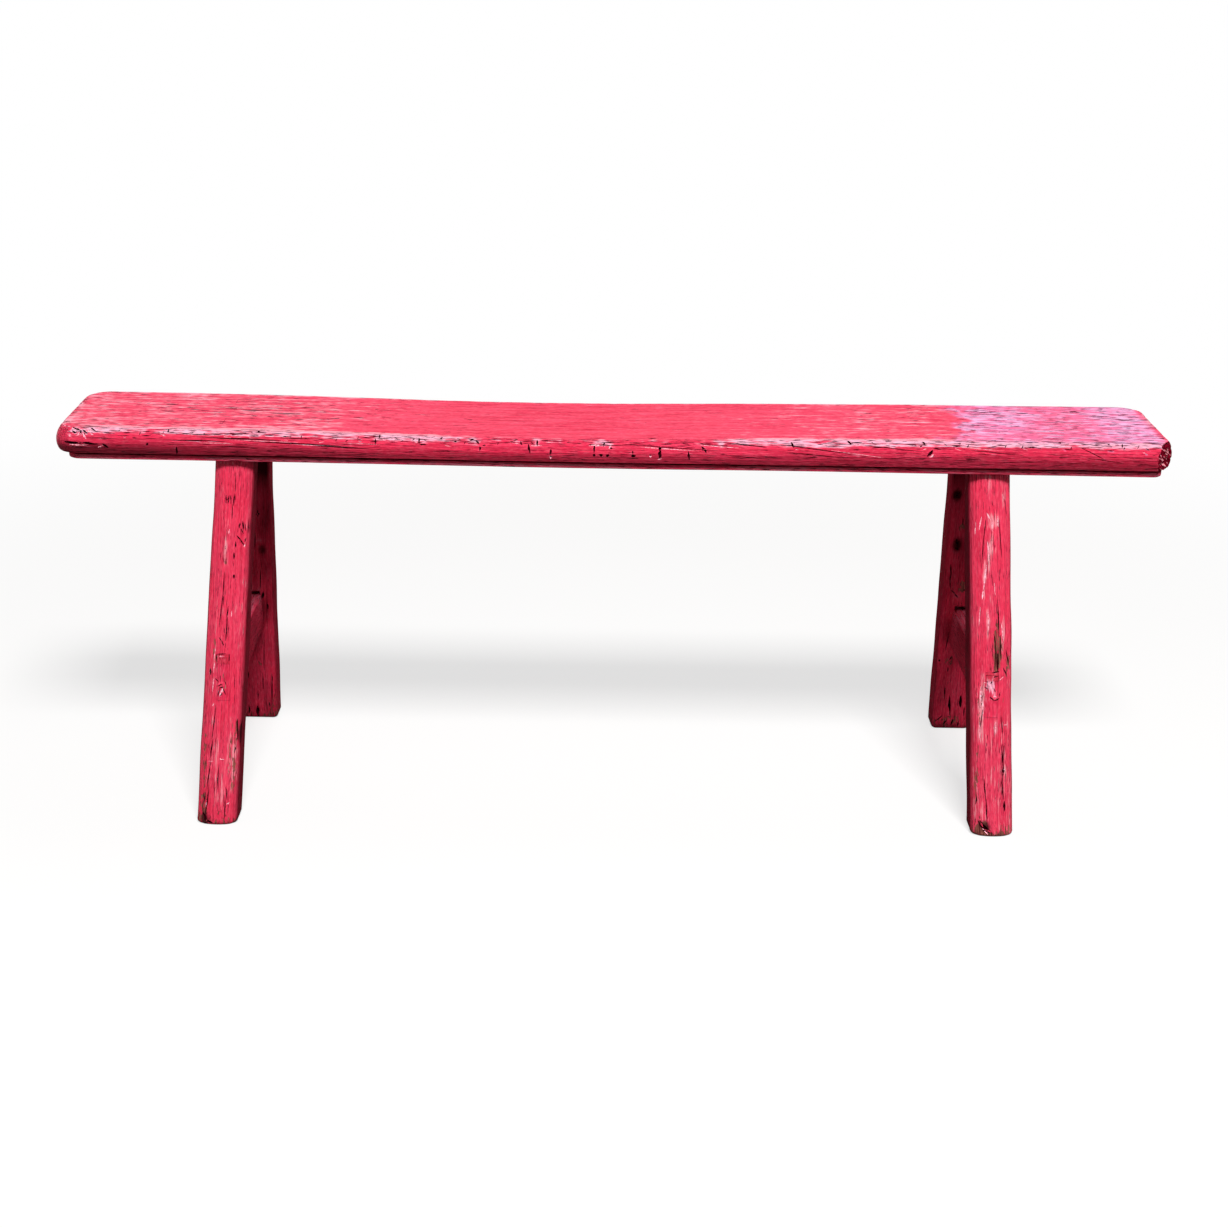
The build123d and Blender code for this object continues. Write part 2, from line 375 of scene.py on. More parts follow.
# Under the seat and between the legs no hand ever polished the paint, and these faces lie in
# shade: this copy is matt and a little darker, a shaded copy that keeps them dark.
dull_enamel = brushed_enamel("matt_red_enamel_in_the_shade", deep="9C0826", bright="F02C4E",
                             faded="E43C5E", rubbed="D4687E", wood="B8625C", gloss=0.7, shine=0.02)
# The flat of the seat looks up into the sun, and its paint has bleached there. This copy is
# matt, paler and pinker, so that its colour also carries a painted sheen of the sky.
bleached_and_sheen_enamel = brushed_enamel("sun_bleached_red_enamel_with_painted_sheen", deep="B80C30", bright="FF5470",
                                 faded="FA5C74", rubbed="FFA6B6", wood="D88E80", gloss=0.7, shine=0.02)
# The wedges are harder wood that stands a little proud, so their paint is browner and thinner.
wedge_enamel = brushed_enamel("worn_red_enamel_on_wedges", deep="A81028", bright="E82A46",
                              faded="D84458", rubbed="F0A0B0", wood="A88474", gloss=0.42, shine=0.12)

# %% [markdown]
# Inside a nick or a slot there is no paint, only old wood dark with dirt. Where the corner of
# the board has broken off, the torn end of the fibres shows: dark between them, with slanting
# pale strands that still stick out, whose pale is partly a painted highlight.

# %% Old wood in cuts, and torn end grain
def raw_surface(name, grain_size, detail, span, deep, pale, rough, shine):
    """A bare, unpainted surface: crumbs of one size in mm, from a deep to a pale colour."""
    surface = bpy.data.materials.new(name)
    tree = empty_tree(surface)
    where = add_node(tree, "ShaderNodeTexCoord").outputs["Object"]
    crumbs = add_node(tree, "ShaderNodeTexNoise", {"Scale": 1 / (grain_size * mm), "Detail": detail},
                      {"Vector": where}).outputs["Fac"]
    shade = add_node(tree, "ShaderNodeMapRange", {"From Min": span[0], "From Max": span[1]},
                     {"Value": crumbs}).outputs["Result"]
    colour = add_node(tree, "ShaderNodeMix", {6: linear(deep), 7: linear(pale)}, {0: shade},
                      data_type="RGBA").outputs[2]
    bump = add_node(tree, "ShaderNodeBump", {"Distance": 0.5 * mm}, {"Height": crumbs}).outputs[0]
    bare = add_node(tree, "ShaderNodeBsdfPrincipled", {"Roughness": rough, "Specular IOR Level": shine},
                    {"Base Color": colour, "Normal": bump}).outputs[0]
    add_node(tree, "ShaderNodeOutputMaterial", links={"Surface": bare})
    return surface


# Dirt has filled the fibres, so a cut looks nearly black and never shines.
old_wood = raw_surface("dirty_old_wood_in_cuts", 2.5, 2.0, (0.35, 0.7), "140204", "520C1A",
                       rough=0.9, shine=0.0)
# Where a chip is fresh, neither dirt nor new paint has got in yet: the pale ground coat shows.
# Its pale pink also stands in for glints on raised edges of the paint, a painted highlight.
ground_coat_and_glints = raw_surface("pale_ground_coat_in_chips", 3, 3.0, (0.38, 0.62), "E07088", "FFCCD8",
                          rough=0.7, shine=0.3)

# Torn fibres lie at a slant over a dark and rough ground; each is painted pale pink, partly its
# own colour and partly a painted highlight.
torn_wood = bpy.data.materials.new("torn_end_grain")
tree = empty_tree(torn_wood)
where = add_node(tree, "ShaderNodeTexCoord").outputs["Object"]
strand_slant = radians(38)
strand_size = (0.016, 0.02, 0.0024)
slanted = add_node(tree, "ShaderNodeMapping", {"Rotation": (0, strand_slant, 0), "Scale": strand_size},
                   {"Vector": where}, vector_type="TEXTURE").outputs[0]
strands = add_node(tree, "ShaderNodeTexNoise", {"Scale": 1.0, "Detail": 2.0},
                   {"Vector": slanted}).outputs["Fac"]
pale = add_node(tree, "ShaderNodeMapRange", {"From Min": 0.58, "From Max": 0.63}, {"Value": strands},
                interpolation_type="SMOOTHSTEP").outputs["Result"]
mottle = add_node(tree, "ShaderNodeTexNoise", {"Scale": 1 / (4 * mm), "Detail": 3.0},
                  {"Vector": where}).outputs["Fac"]
dark = add_node(tree, "ShaderNodeMix", {6: linear("240008"), 7: linear("9C102A")}, {0: mottle},
                data_type="RGBA").outputs[2]
tear = add_node(tree, "ShaderNodeMix", {7: linear("F498A4")}, {0: pale, 6: dark},
                data_type="RGBA").outputs[2]
bump = add_node(tree, "ShaderNodeBump", {"Distance": 1.2 * mm}, {"Height": pale}).outputs[0]
wood = add_node(tree, "ShaderNodeBsdfPrincipled", {"Roughness": 0.8, "Specular IOR Level": 0.0},
                {"Base Color": tear, "Normal": bump}).outputs[0]
add_node(tree, "ShaderNodeOutputMaterial", links={"Surface": wood})
print("materials:", [material.name for material in bpy.data.materials])

# %% [markdown]
# The sizes of the bench, in mm. The legs splay across the seat and lean along it, so where a
# leg stands depends on the height at which it is asked for.

# %% Sizes of the bench, in mm
LEFT, RIGHT = -1, 1
FRONT, BACK = -1, 1
side_name = {LEFT: "left", RIGHT: "right"}
row_name = {FRONT: "front", BACK: "back"}
corners = [(side, row) for side in (LEFT, RIGHT) for row in (FRONT, BACK)]

seat_length = 1400
seat_width = 200
seat_thickness = 42
seat_height = 492
seat_underside = seat_height - seat_thickness
seat_corner = 26

leg_width = (51, 55)  # at the top and at the floor
leg_depth = (44, 47)
leg_spread = (122, 356)
leg_along_seat = {LEFT: (480, 500), RIGHT: (470, 490)}
tenon_width = 34
tenon_depth = 24

rail_top = {LEFT: 206, RIGHT: 200}
rail_height = 54
rail_thickness = 20
rail_tenon_thickness = 16
rail_tenon_shoulder = 4  # from the rail's lower edge up to its tenon
rail_tenon_root = 2  # how far the tenon reaches back into the rail
rail_tenon_reveal = 1  # and how far short of the leg's face it ends
rail_wedge_length = 34
rail_wedge_fall = 6  # how much lower the tenon is at its end, under the wedge
mortise_rise = 6


def at_height(pair, height):
    """A value that runs straight from its size under the seat to its size at the floor."""
    top, foot = pair
    return top + (foot - top) * (seat_underside - height) / seat_underside


def leg_x(side, height):
    return side * at_height(leg_along_seat[side], height)


def leg_reach(height):
    """From the long middle line of the bench to the middle of a leg."""
    return at_height(leg_spread, height) / 2


for side in (LEFT, RIGHT):
    print(side_name[side], "feet at x", leg_x(side, 0), "y", leg_reach(0))

# %% [markdown]
# The edge of the board is moulded: a thin lip along the bottom, a groove, a round nose and a
# worn slope up to the top. A joiner runs such an edge with planes along a straight board.
# Here it is built up in the same spirit: a fine grid is laid at the underside, then pushed up
# step by step, and after each step it is made wider or narrower, as the profile asks. The
# fine grid leaves enough points to wear the board down later.

# %% Profile of the moulded edge, in mm: how far in, how high
nose_middle = 22
nose_half = 14
nose_swell = 4
edge_profile = [(10.0, 0.0), (8.9, 0.6), (8.5, 1.6), (8.5, 5.5), (9.2, 6.6), (11.0, 7.3), (10.8, 8.2),
                (6.6, 8.8)]
for height in (9.5, 11.0, 13.5, 16.5, 19.5, 22.5, 25.5, 28.5, 31.5, 34.5):
    edge_profile.append((nose_swell * ((height - nose_middle) / nose_half) ** 2, height))
edge_profile += [(4.3, 36.6), (5.2, 38.5), (6.4, 40.1), (8.2, 41.3), (10.6, 42.0)]


def edge_inset(height):
    """How far in from the fullest outline the edge is, this high above the underside."""
    for (low_inset, low), (high_inset, high) in zip(edge_profile, edge_profile[1:]):
        if height <= high:
            share = (height - low) / (high - low)
            return low_inset + (high_inset - low_inset) * min(1, max(0, share))
    return edge_profile[-1][0]


print("edge profile:", len(edge_profile), "steps")

# %% The seat board, built up from a grid
def push_up(profile, length, width):
    """Raises the grid that is being edited through all steps of a profile; mm."""
    inset, height = profile[0]
    bpy.ops.transform.resize(value=((length - 2 * inset) * mm, (width - 2 * inset) * mm, 1))
    for (old_inset, old_height), (inset, height) in zip(profile, profile[1:]):
        rise = (height - old_height) * mm
        bpy.ops.mesh.extrude_region_move(TRANSFORM_OT_translate={"value": (0, 0, rise)})
        wider = (length - 2 * inset) / (length - 2 * old_inset)
        deeper = (width - 2 * inset) / (width - 2 * old_inset)
        bpy.ops.transform.resize(value=(wider, deeper, 1))


clear_selection()
bpy.ops.mesh.primitive_grid_add(x_subdivisions=432, y_subdivisions=56, size=1,
                                location=(0, 0, seat_underside * mm))
seat = bpy.context.object
seat.name = "worn_seat_board"
edit(seat)
bpy.ops.mesh.select_all(action="SELECT")
push_up(edge_profile, seat_length, seat_width)
face_outwards()
done_editing()
take(seat)
bpy.ops.object.transform_apply(location=True, rotation=True, scale=True)
print("seat board:", len(seat.data.vertices), "points", [round(side, 4) for side in seat.dimensions])

# %% [markdown]
# The four corners of the board are rounded in plan. Each point near a corner is drawn in
# towards the corner's centre, just as a rasp would take it, by as much as turns the square
# corner into a quarter circle. The radius gets smaller with the inset, so the moulding keeps
# its section all the way round.

# %% Rounding the corners
def round_corner(u, v, half_u, half_v, radius):
    """Moves a point of a square-cornered outline to where a rounded corner has it."""
    over_u = abs(u) - (half_u - radius)
    over_v = abs(v) - (half_v - radius)
    if over_u <= 0 or over_v <= 0:
        return u, v
    reach = (over_u * over_u + over_v * over_v) ** 0.5
    keep = max(over_u, over_v) / reach
    new_u = half_u - radius + over_u * keep
    new_v = half_v - radius + over_v * keep
    return (new_u if u > 0 else -new_u), (new_v if v > 0 else -new_v)


# Extra rounding of a corner, in mm
corner_wear = {(LEFT, BACK): 12, (RIGHT, BACK): 9, (RIGHT, FRONT): -4}
for point in seat.data.vertices:
    x, y, z = (value / mm for value in point.co)
    inset = edge_inset(z - seat_underside)
    more = corner_wear.get((RIGHT if x > 0 else LEFT, BACK if y > 0 else FRONT), 0)
    radius = seat_corner + more - inset
    x, y = round_corner(x, y, seat_length / 2 - inset, seat_width / 2 - inset, radius)
    point.co = (x * mm, y * mm, z * mm)
print("corner points drawn in")

# %% [markdown]
# People have sat on this board for many years. The top is worn hollow, deepest a little left
# of the middle, and the board has sagged by a millimetre. Old paint over weathered grain is
# never flat either: long low ridges run along the fibres. All of this is done as sculpting
# would do it, by moving points, and one function gives the height of the top so that the
# ends of the leg tenons can be worn to the very same surface later.

# %% Wear of the top, in mm
hollow_middle = -110
hollow_reach = {LEFT: 520, RIGHT: 440}
hollow_depth = 4.2
right_end_rise = 2.6
sag_middle = -60
sag_reach = 400
sag_depth = 1.0
lip_stops_short = {LEFT: 5, RIGHT: 4}


def smooth_step(value, start, end):
    share = min(1.0, max(0.0, (value - start) / (end - start)))
    return share * share * (3 - 2 * share)


def hollow(x):
    """How far use has worn the top down, along the board. The right end, where nobody sat,
    still stands a little proud."""
    reach = hollow_reach[LEFT if x < hollow_middle else RIGHT]
    share = min(1.0, abs(x - hollow_middle) / reach)
    return hollow_depth * 0.5 * (1 + cos(pi * share)) - right_end_rise * smooth_step(x, 170, 640)


def sag(x):
    """How far the whole board has given way in its middle."""
    return sag_depth * (0.5 + 0.5 * cos(pi * min(1.0, abs(x - sag_middle) / sag_reach)))


def ridges(x, y, z):
    """Low unevenness along the fibres, in mm."""
    broad = noise.noise(Vector((x / 180, y / 26, z / 26)))
    fine = noise.noise(Vector((x / 60 + 40, y / 7, z / 7)))
    return 0.55 * broad + 0.28 * fine


def seat_top(x, y):
    """Height of the worn top of the seat."""
    return seat_height - hollow(x) - sag(x) + ridges(x, y, seat_height)


facings = [point.normal.copy() for point in seat.data.vertices]
for point, outward in zip(seat.data.vertices, facings):
    x, y, z = (value / mm for value in point.co)
    level = z - seat_underside
    end = LEFT if x < 0 else RIGHT
    x -= end * lip_stops_short[end] * smooth_step(abs(x), 640, 686) * (1 - smooth_step(level, 5, 11))
    if level > seat_thickness - 0.01:
        point.co.z = seat_top(x, y) * mm
        continue
    lowered = sag(x) + hollow(x) * smooth_step(level, 16, seat_thickness)
    push = ridges(x, y, z) * smooth_step(level, 7, 12)
    push += 1.1 * smooth_step(abs(x), 684, 700) * smooth_step(level, 7, 14)
    if level < 0.01:
        outward = Vector((0, 0, 1))
        push = 0.4 * ridges(x, y, z)
    moved = Vector((x, y, z - lowered)) + outward * push
    point.co = moved * mm
seat.data.update()
print("hollow:", round(hollow(hollow_middle), 1), "mm deep")

# %% [markdown]
# A cutter is a shape that is subtracted. The solver keeps the cutter's materials, so the inside
# of each cut is lined with old wood, or with the pale ground coat that also serves as painted
# glints, without any further work. A gouge is one such cutter: a slim crooked spindle laid on
# the surface, which leaves a nick, a dent, a split or a worm-eaten slot, depending on its
# length, width and depth. It is made once and copied for every mark.

# %% Cutting
def combine(piece, other, operation):
    """Cuts the other solid out of the piece, or joins it on, and removes the other."""
    change = piece.modifiers.new("joinery", "BOOLEAN")
    change.operation = operation
    change.solver = "MANIFOLD"
    change.object = other
    take(piece)
    bpy.ops.object.modifier_apply(modifier=change.name)
    bpy.data.objects.remove(other)


linings = [old_wood, ground_coat_and_glints, torn_wood]
paint_slot = 0
dull_slot = 1 + len(linings)
bleached_and_sheen_slot = dull_slot + 1


def line(piece, paint):
    """Gives a piece its paint, the materials that its cuts may show, and the two matt paints."""
    for material in (paint, *linings, dull_enamel, bleached_and_sheen_enamel):
        piece.data.materials.append(material)


def cut_away(piece, cutter, lining=old_wood):
    """Cuts the cutter out of the piece; the cut is lined with that material."""
    line(cutter, red_enamel)
    for face in cutter.data.polygons:
        face.material_index = 1 + linings.index(lining)
    combine(piece, cutter, "DIFFERENCE")


clear_selection()
bpy.ops.mesh.primitive_uv_sphere_add(segments=8, ring_count=8, radius=1)
gouge_shape = bpy.context.object
gouge_shape.name = "gouge_shape"
for point in gouge_shape.data.vertices:
    slim = 1 - 0.35 * abs(point.co.z)
    point.co.x *= slim
    point.co.y *= slim

luck = random.Random(11)


def gouge(place, along, outward, length, width, depth):
    """One gouge cutter: where, along what, facing where, and its size in mm."""
    cutter = copy_of(gouge_shape, "gouge")
    outward = Vector(outward).normalized()
    along = Vector(along)
    along = (along - outward * along.dot(outward)).normalized()
    across = outward.cross(along)
    seed = luck.uniform(0, 50)
    for point in cutter.data.vertices:
        u, v, w = point.co
        u += 0.5 * noise.noise(Vector((seed, w * 1.7, 0)))
        u *= 1 + 0.5 * noise.noise(Vector((seed, w * 2.5, 9)))
        local = across * (u * width / 2) + outward * (v * depth) + along * (w * length / 2)
        point.co = (Vector(place) + local) * mm
    return cutter


def cut_all(piece, cutters, lining=old_wood, through=()):
    """Subtracts many cutters at once, also from the pieces that they go through into."""
    take(*cutters)
    bpy.ops.object.join()
    for other in through:
        cut_away(other, copy_of(cutters[0], "gouge"), lining)
    cut_away(piece, cutters[0], lining)


print("gouge has", len(gouge_shape.data.polygons), "faces")

# %% [markdown]
# Four mortises go right through the board, raked like the legs. Each one is cut with a slim
# box that leans with its leg. They leave only a hair's breadth round the tenons, which is how
# the joints look from above after all that paint.

# %% Mortises for the legs
joint_gap = 0.15  # all round a joint
overshoot = 20  # how far a cutter reaches past both sides of the board


def stand_on_leg(u, v, height, side, row):
    """Takes a point of the upright pattern leg to its place in a raked leg; all in mm."""
    level = min(height, seat_underside)
    wide = at_height(leg_width, level) / leg_width[0]
    deep = at_height(leg_depth, level) / leg_depth[0]
    return Vector((leg_x(side, height) + row * u * wide, row * (leg_reach(height) + v * deep), height))


def block(size, bottom, top, taper=1.0):
    """A plain block from one height to another, round the upright axis; mm."""
    clear_selection()
    bpy.ops.mesh.primitive_cube_add(size=1, location=(0, 0, (bottom + top) / 2 * mm))
    made = bpy.context.object
    edit(made)
    bpy.ops.mesh.select_all(action="SELECT")
    bpy.ops.transform.resize(value=(size[0] * mm, size[1] * mm, (top - bottom) * mm))
    done_editing()
    take(made)
    bpy.ops.object.transform_apply(location=True, rotation=True, scale=True)
    for point in made.data.vertices:
        if point.co.z < (bottom + top) / 2 * mm:
            point.co.x *= taper
    return made


line(seat, red_enamel)
for side, row in corners:
    mortise = block((tenon_width + 2 * joint_gap, tenon_depth + 2 * joint_gap),
                    seat_underside - overshoot, seat_height + overshoot)
    for point in mortise.data.vertices:
        u, v, height = (value / mm for value in point.co)
        lean = stand_on_leg(u, v, height, side, row)
        if height < seat_underside:
            centre = Vector((leg_x(side, height), row * leg_reach(height), height))
            lean = centre + Vector((row * u, row * v, 0))
        point.co = lean * mm
    cut_away(seat, mortise)
print("seat with mortises:", len(seat.data.polygons), "faces")

# %% [markdown]
# The front edge has taken the knocks. Each mark is written down as its place along the seat,
# its height, its length and tilt (0 runs along the board, 90 stands upright), and how wide
# and deep it is. Upright marks are knife cuts, the short ones dents and nail holes, and the
# long flat ones splits that follow the grain.

# %% Marks in the front edge: along x, height, length, tilt, width, depth
front_marks = [
    # the long split and the broken scales at the left end
    (-678, 473.4, 34, -1, 3.0, 4.2), (-656, 472.8, 26, -3, 2.6, 3.6), (-635, 470, 10, -35, 2.6, 3.0),
    (-670, 489.5, 14, -28, 1.6, 2.2), (-665, 486, 6, -85, 1.6, 2.2), (-660, 486.5, 9, -42, 1.7, 2.2),
    (-673, 485.5, 6, -20, 2.2, 2.0), (-650, 489, 9, -38, 1.5, 2.0), (-640, 479.5, 40, 0, 0.9, 1.0),
    # left third
    (-583, 473, 4, 60, 2.4, 2.2), (-547, 465, 12, 88, 1.9, 3.5), (-557, 489, 4, 80, 1.8, 2.0),
    (-445, 491, 4, 60, 2.2, 2.0), (-432, 467, 7, 0, 1.4, 1.5), (-413, 486, 4, 20, 1.6, 1.6),
    (-300, 483, 8, 88, 1.5, 2.5), (-295, 490, 7, 90, 1.2, 2.0), (-246, 486, 9, 90, 1.7, 2.8),
    (-241, 481, 8, 0, 1.5, 2.0), (-218, 490, 4, 40, 1.8, 1.8), (-201, 486, 4, 10, 1.8, 1.6),
    # the cluster of cuts left of the middle
    (-180, 489, 6, 20, 2.0, 2.2), (-173, 486, 6, -50, 1.8, 2.0), (-170, 477, 6, 90, 1.6, 2.4),
    (-165, 482, 4, 20, 1.7, 1.8), (-126, 490, 6, 25, 1.5, 1.8), (-119, 486, 6, -70, 1.5, 2.0),
    (-99, 487, 9, 88, 1.7, 3.0), (-109, 479, 13, -78, 2.2, 3.4), (-82, 474, 7, 84, 2.0, 3.0),
    (-82, 467, 3, 80, 1.8, 2.0), (-28, 480, 12, 90, 1.6, 3.0), (-28, 470, 4, 90, 2.6, 3.0),
    (-19, 470, 4, 80, 3.2, 3.4), (-11, 470, 4, 60, 3.0, 3.0), (-7, 481, 4, 0, 2.0, 2.2),
    (-16, 486, 6, 70, 1.6, 2.2), (21, 470, 6, 0, 4.0, 3.4), (20, 475, 4, 90, 1.4, 1.6),
    (42, 471, 3, 0, 1.6, 1.4), (54, 481, 6, 80, 2.6, 3.0), (54, 472, 13, 87, 3.2, 4.0),
    (90, 471, 13, -82, 2.2, 3.2), (109, 480, 11, -50, 2.2, 3.0),
    # right half
    (219, 486, 9, -66, 2.0, 2.4), (290, 489, 8, -52, 2.0, 2.4), (383, 489, 6, -60, 1.8, 2.4),
    (391, 478, 11, 50, 3.0, 3.4), (427, 489, 5, 10, 1.6, 1.6), (553, 491, 4, 10, 2.0, 2.0),
    (614, 490, 3, 20, 2.0, 2.0), (631, 489, 6, 85, 1.4, 2.0), (595, 480, 44, -26, 1.1, 1.0),
    # long splits along the nose
    (-470, 482, 110, -1.5, 1.6, 1.7), (-400, 477.5, 120, -2, 1.8, 1.8), (-340, 474, 90, -2.5, 1.6, 1.7),
    (-520, 478.5, 70, 0, 1.5, 1.6), (160, 486, 60, -6, 1.5, 1.6), (250, 481, 90, -7, 1.3, 1.4),
    (60, 483, 150, -3.2, 1.1, 1.3), (-10, 485, 60, 1, 0.9, 1.0), (-395, 484, 52, 0.5, 1.1, 1.4),
    (-520, 486, 40, -1, 1.1, 1.4), (250, 474, 110, -4.6, 1.0, 1.2), (345, 483, 95, -6, 1.0, 1.1),
    (470, 480, 90, -5, 1.0, 1.2), (-330, 478, 46, -2, 0.9, 1.1), (-215, 472, 50, 2, 0.9, 1.0),
    (610, 473, 50, -7, 0.9, 1.0), (165, 470, 60, -4, 0.9, 1.0), (-480, 472, 60, 1, 0.9, 1.0),
]

# Fresh chips in it, where the pale ground coat shows, partly as painted glints: the same six numbers
front_chips = [
    (-673, 490, 8, 10, 2.4, 1.0), (-656, 487.5, 9, -5, 3.4, 1.2), (-660.5, 481.5, 9, -60, 1.8, 1.0),
    (-679, 482, 8, -45, 1.6, 0.9), (-668, 483.5, 6, 30, 1.6, 0.9), (-652, 484.5, 6, -30, 1.6, 0.9),
    (-670, 470.8, 30, -1, 1.5, 1.0), (-641, 469.3, 8, 20, 1.6, 1.0), (-26, 485, 18, 4, 1.8, 0.9),
    (-8, 484, 8, 70, 1.6, 0.9), (-100, 483.5, 14, 4, 2.0, 1.0), (54, 466, 6, 20, 2.0, 1.0),
    (42, 470, 4, 90, 2.6, 1.0), (393, 475, 6, 40, 1.6, 1.0), (-82, 466, 5, 80, 2.0, 1.0),
    (-440, 480, 90, -1.5, 1.1, 0.9), (-370, 475.8, 80, -2, 1.1, 0.9), (-320, 480, 60, -2, 1.1, 0.9),
    (-500, 476, 50, 0, 1.0, 0.8), (130, 484, 70, -4, 1.2, 0.9), (60, 481, 90, -3.2, 1.1, 0.8),
    (300, 476, 70, -7, 1.0, 0.8), (450, 484, 60, -5, 1.0, 0.8),
]

# Small scratches along the worn slope: from where to where, and how many
front_scratches = [(-690, -84, 46), (214, 672, 34)]
print("written down for the front edge:", len(front_marks), "marks,", len(front_chips), "chips")

# %% [markdown]
# A mark is pressed into the moulded edge where that has ended up after all the wear, and it
# faces straight out of it there. The fresh chips are cut first and the dark marks over them,
# with a scatter of small scratches between. Every place is remembered, because the paint is
# made pale round a mark, partly as rubbed paint and partly as a painted glint.

# %% Cutting the front edge
def on_edge(x, height, row):
    """Place and facing of a point of the nose or the worn slope, on the long edge."""
    level = height - seat_underside
    lowered = sag(x) + hollow(x) * smooth_step(level, 16, seat_thickness)
    y = row * (seat_width / 2 - edge_inset(level))
    slope = (edge_inset(level + 1.5) - edge_inset(level - 1.5)) / 3
    return Vector((x, y, height - lowered)), Vector((0, row, slope)).normalized()


mark_places = []
edge_cutters = []
for marks_of_kind in (front_chips, front_marks):
    cutters = []
    for x, height, length, tilt, width, depth in marks_of_kind:
        place, outward = on_edge(x, height, FRONT)
        along = Vector((cos(radians(tilt)), 0, sin(radians(tilt))))
        # cuts across the fibres have opened wider over the years
        opened = 1.4 if abs(tilt) > 30 else 1.1
        cutters.append(gouge(place, along, outward, length, width * opened, depth))
        mark_places.append(place)
    edge_cutters.append(cutters)
chips, cutters = edge_cutters
for start, end, amount in front_scratches:
    for number in range(amount):
        x = start + (end - start) * (number + luck.random()) / amount
        height = luck.uniform(483, 491)
        place, outward = on_edge(x, height, FRONT)
        tilt = radians(luck.choice((0, -5, 4, -30, 35, 70)))
        length = luck.uniform(3, 6) if abs(tilt) > 0.3 else luck.uniform(5, 16)
        width = luck.uniform(0.9, 1.5)
        cutters.append(gouge(place, (cos(tilt), 0, sin(tilt)), outward, length, width, 1.2))
        if number % 3 == 0:
            place, outward = on_edge(x + luck.uniform(-5, 5), height - luck.uniform(1, 4), FRONT)
            tilt = radians(luck.uniform(-25, 25))
            length = luck.uniform(5, 11)
            chips.append(gouge(place, (cos(tilt), 0, sin(tilt)), outward, length, 1.1, 0.7))
cut_all(seat, chips, ground_coat_and_glints)
cut_all(seat, cutters[:len(cutters) // 2])
cut_all(seat, cutters[len(cutters) // 2:])
print("front edge:", len(chips) + len(cutters), "cuts,", len(seat.data.polygons), "faces")

# %% [markdown]
# The top shows short dark checks, most of them over the left legs, where the paint has split
# along the fibres and dirt has settled in. The back edge and the underside get a scatter of
# the same marks, drawn by a random source with a fixed seed, since an old bench is worn on
# every side.

# %% Marks in the top: x, y, length, turn, width, depth
top_marks = [
    (-606, 28, 6, 30, 1.6, 1.6), (-575, 27, 17, 0, 4.6, 3.0), (-552, 30, 12, 2, 1.1, 1.4),
    (-497, 15, 15, 3, 4.4, 2.8), (-468, 7, 32, 3, 5.0, 3.2), (-422, -6, 42, 4, 5.2, 3.2),
    (-461, -23, 10, 0, 4.6, 2.8), (-400, 28, 20, 2, 4.6, 2.8), (-359, -22, 13, 3, 3.8, 2.6),
    (-328, -14, 17, 2, 3.8, 2.6), (-194, -4, 6, 0, 2.2, 1.8), (-445, 20, 26, -2, 2.4, 2.2),
    (-510, -6, 22, 3, 2.4, 2.2), (-380, 8, 24, 2, 2.2, 2.0), (-540, 2, 18, -2, 1.8, 1.6),
    (-300, 30, 22, 1, 1.8, 1.6), (-250, 12, 26, -1, 1.6, 1.4), (-415, 52, 22, 1, 1.8, 1.6),
    (7, 15, 7, 0, 1.4, 1.4), (78, -46, 19, 2, 1.4, 1.6), (130, 40, 30, 0, 1.0, 1.2),
    (240, -30, 34, 1, 1.0, 1.2), (330, 10, 26, -2, 1.1, 1.3), (476, 69, 9, 30, 1.8, 1.6),
    (533, 50, 17, 4, 4.6, 2.8), (472, -23, 14, -8, 1.4, 1.6), (575, 12, 24, 3, 1.2, 1.4),
    (620, -40, 30, -3, 1.2, 1.4), (640, 30, 24, 5, 1.2, 1.4), (560, -62, 20, 2, 1.1, 1.4),
    (-640, -20, 26, -3, 1.1, 1.4), (-620, 50, 22, 2, 1.0, 1.3), (-660, 14, 18, 4, 1.2, 1.3),
]
back_scatter = 26
underside_scatter = 18

cutters = []
for x, y, length, turn, width, depth in top_marks:
    place = Vector((x, y, seat_top(x, y)))
    along = Vector((cos(radians(turn)), sin(radians(turn)), 0))
    cutters.append(gouge(place, along, (0, 0, 1), length, width, depth))
    mark_places.append(place)
for number in range(back_scatter):
    x = -660 + number * 52 + luck.uniform(-18, 18)
    place, outward = on_edge(x, luck.uniform(466, 489), BACK)
    tilt = radians(luck.choice((0, -4, 5, 80, 90, 60)))
    length = luck.uniform(4, 12) if tilt > 0.5 else luck.uniform(12, 40)
    cutters.append(gouge(place, (cos(tilt), 0, sin(tilt)), outward, length, luck.uniform(1.2, 2.6),
                         luck.uniform(1.5, 3)))
    mark_places.append(place)
for number in range(underside_scatter):
    place = Vector((-640 + number * 75 + luck.uniform(-20, 20), luck.uniform(-70, 70), seat_underside))
    along = (1, luck.uniform(-0.05, 0.05), 0)
    cutters.append(gouge(place, along, (0, 0, -1), luck.uniform(20, 60), 1.4, 2))
cut_all(seat, cutters)
print("top, back and underside:", len(cutters), "marks,", len(seat.data.polygons), "faces")

# %% [markdown]
# The right front corner has been knocked off, in the shape of a half moon: a straight break
# across a corner that is round both ways leaves just that outline. The tool for it is a block
# with one rough face, a fine grid that is crumpled point by point. Subtracting it leaves the
# rough face behind, lined with torn end grain, and a few pale slivers are cut in after it.

# %% The broken corner
break_start = Vector((677, -99.6, seat_underside + 7.7))
break_facing = Vector((0.80, -0.60, 0))
break_along = Vector((0.60, 0.80, 0))
breaker_length, breaker_height, breaker_depth = 60, 46, 30
breaker_shift = 18  # along the break, to reach past the end of the board
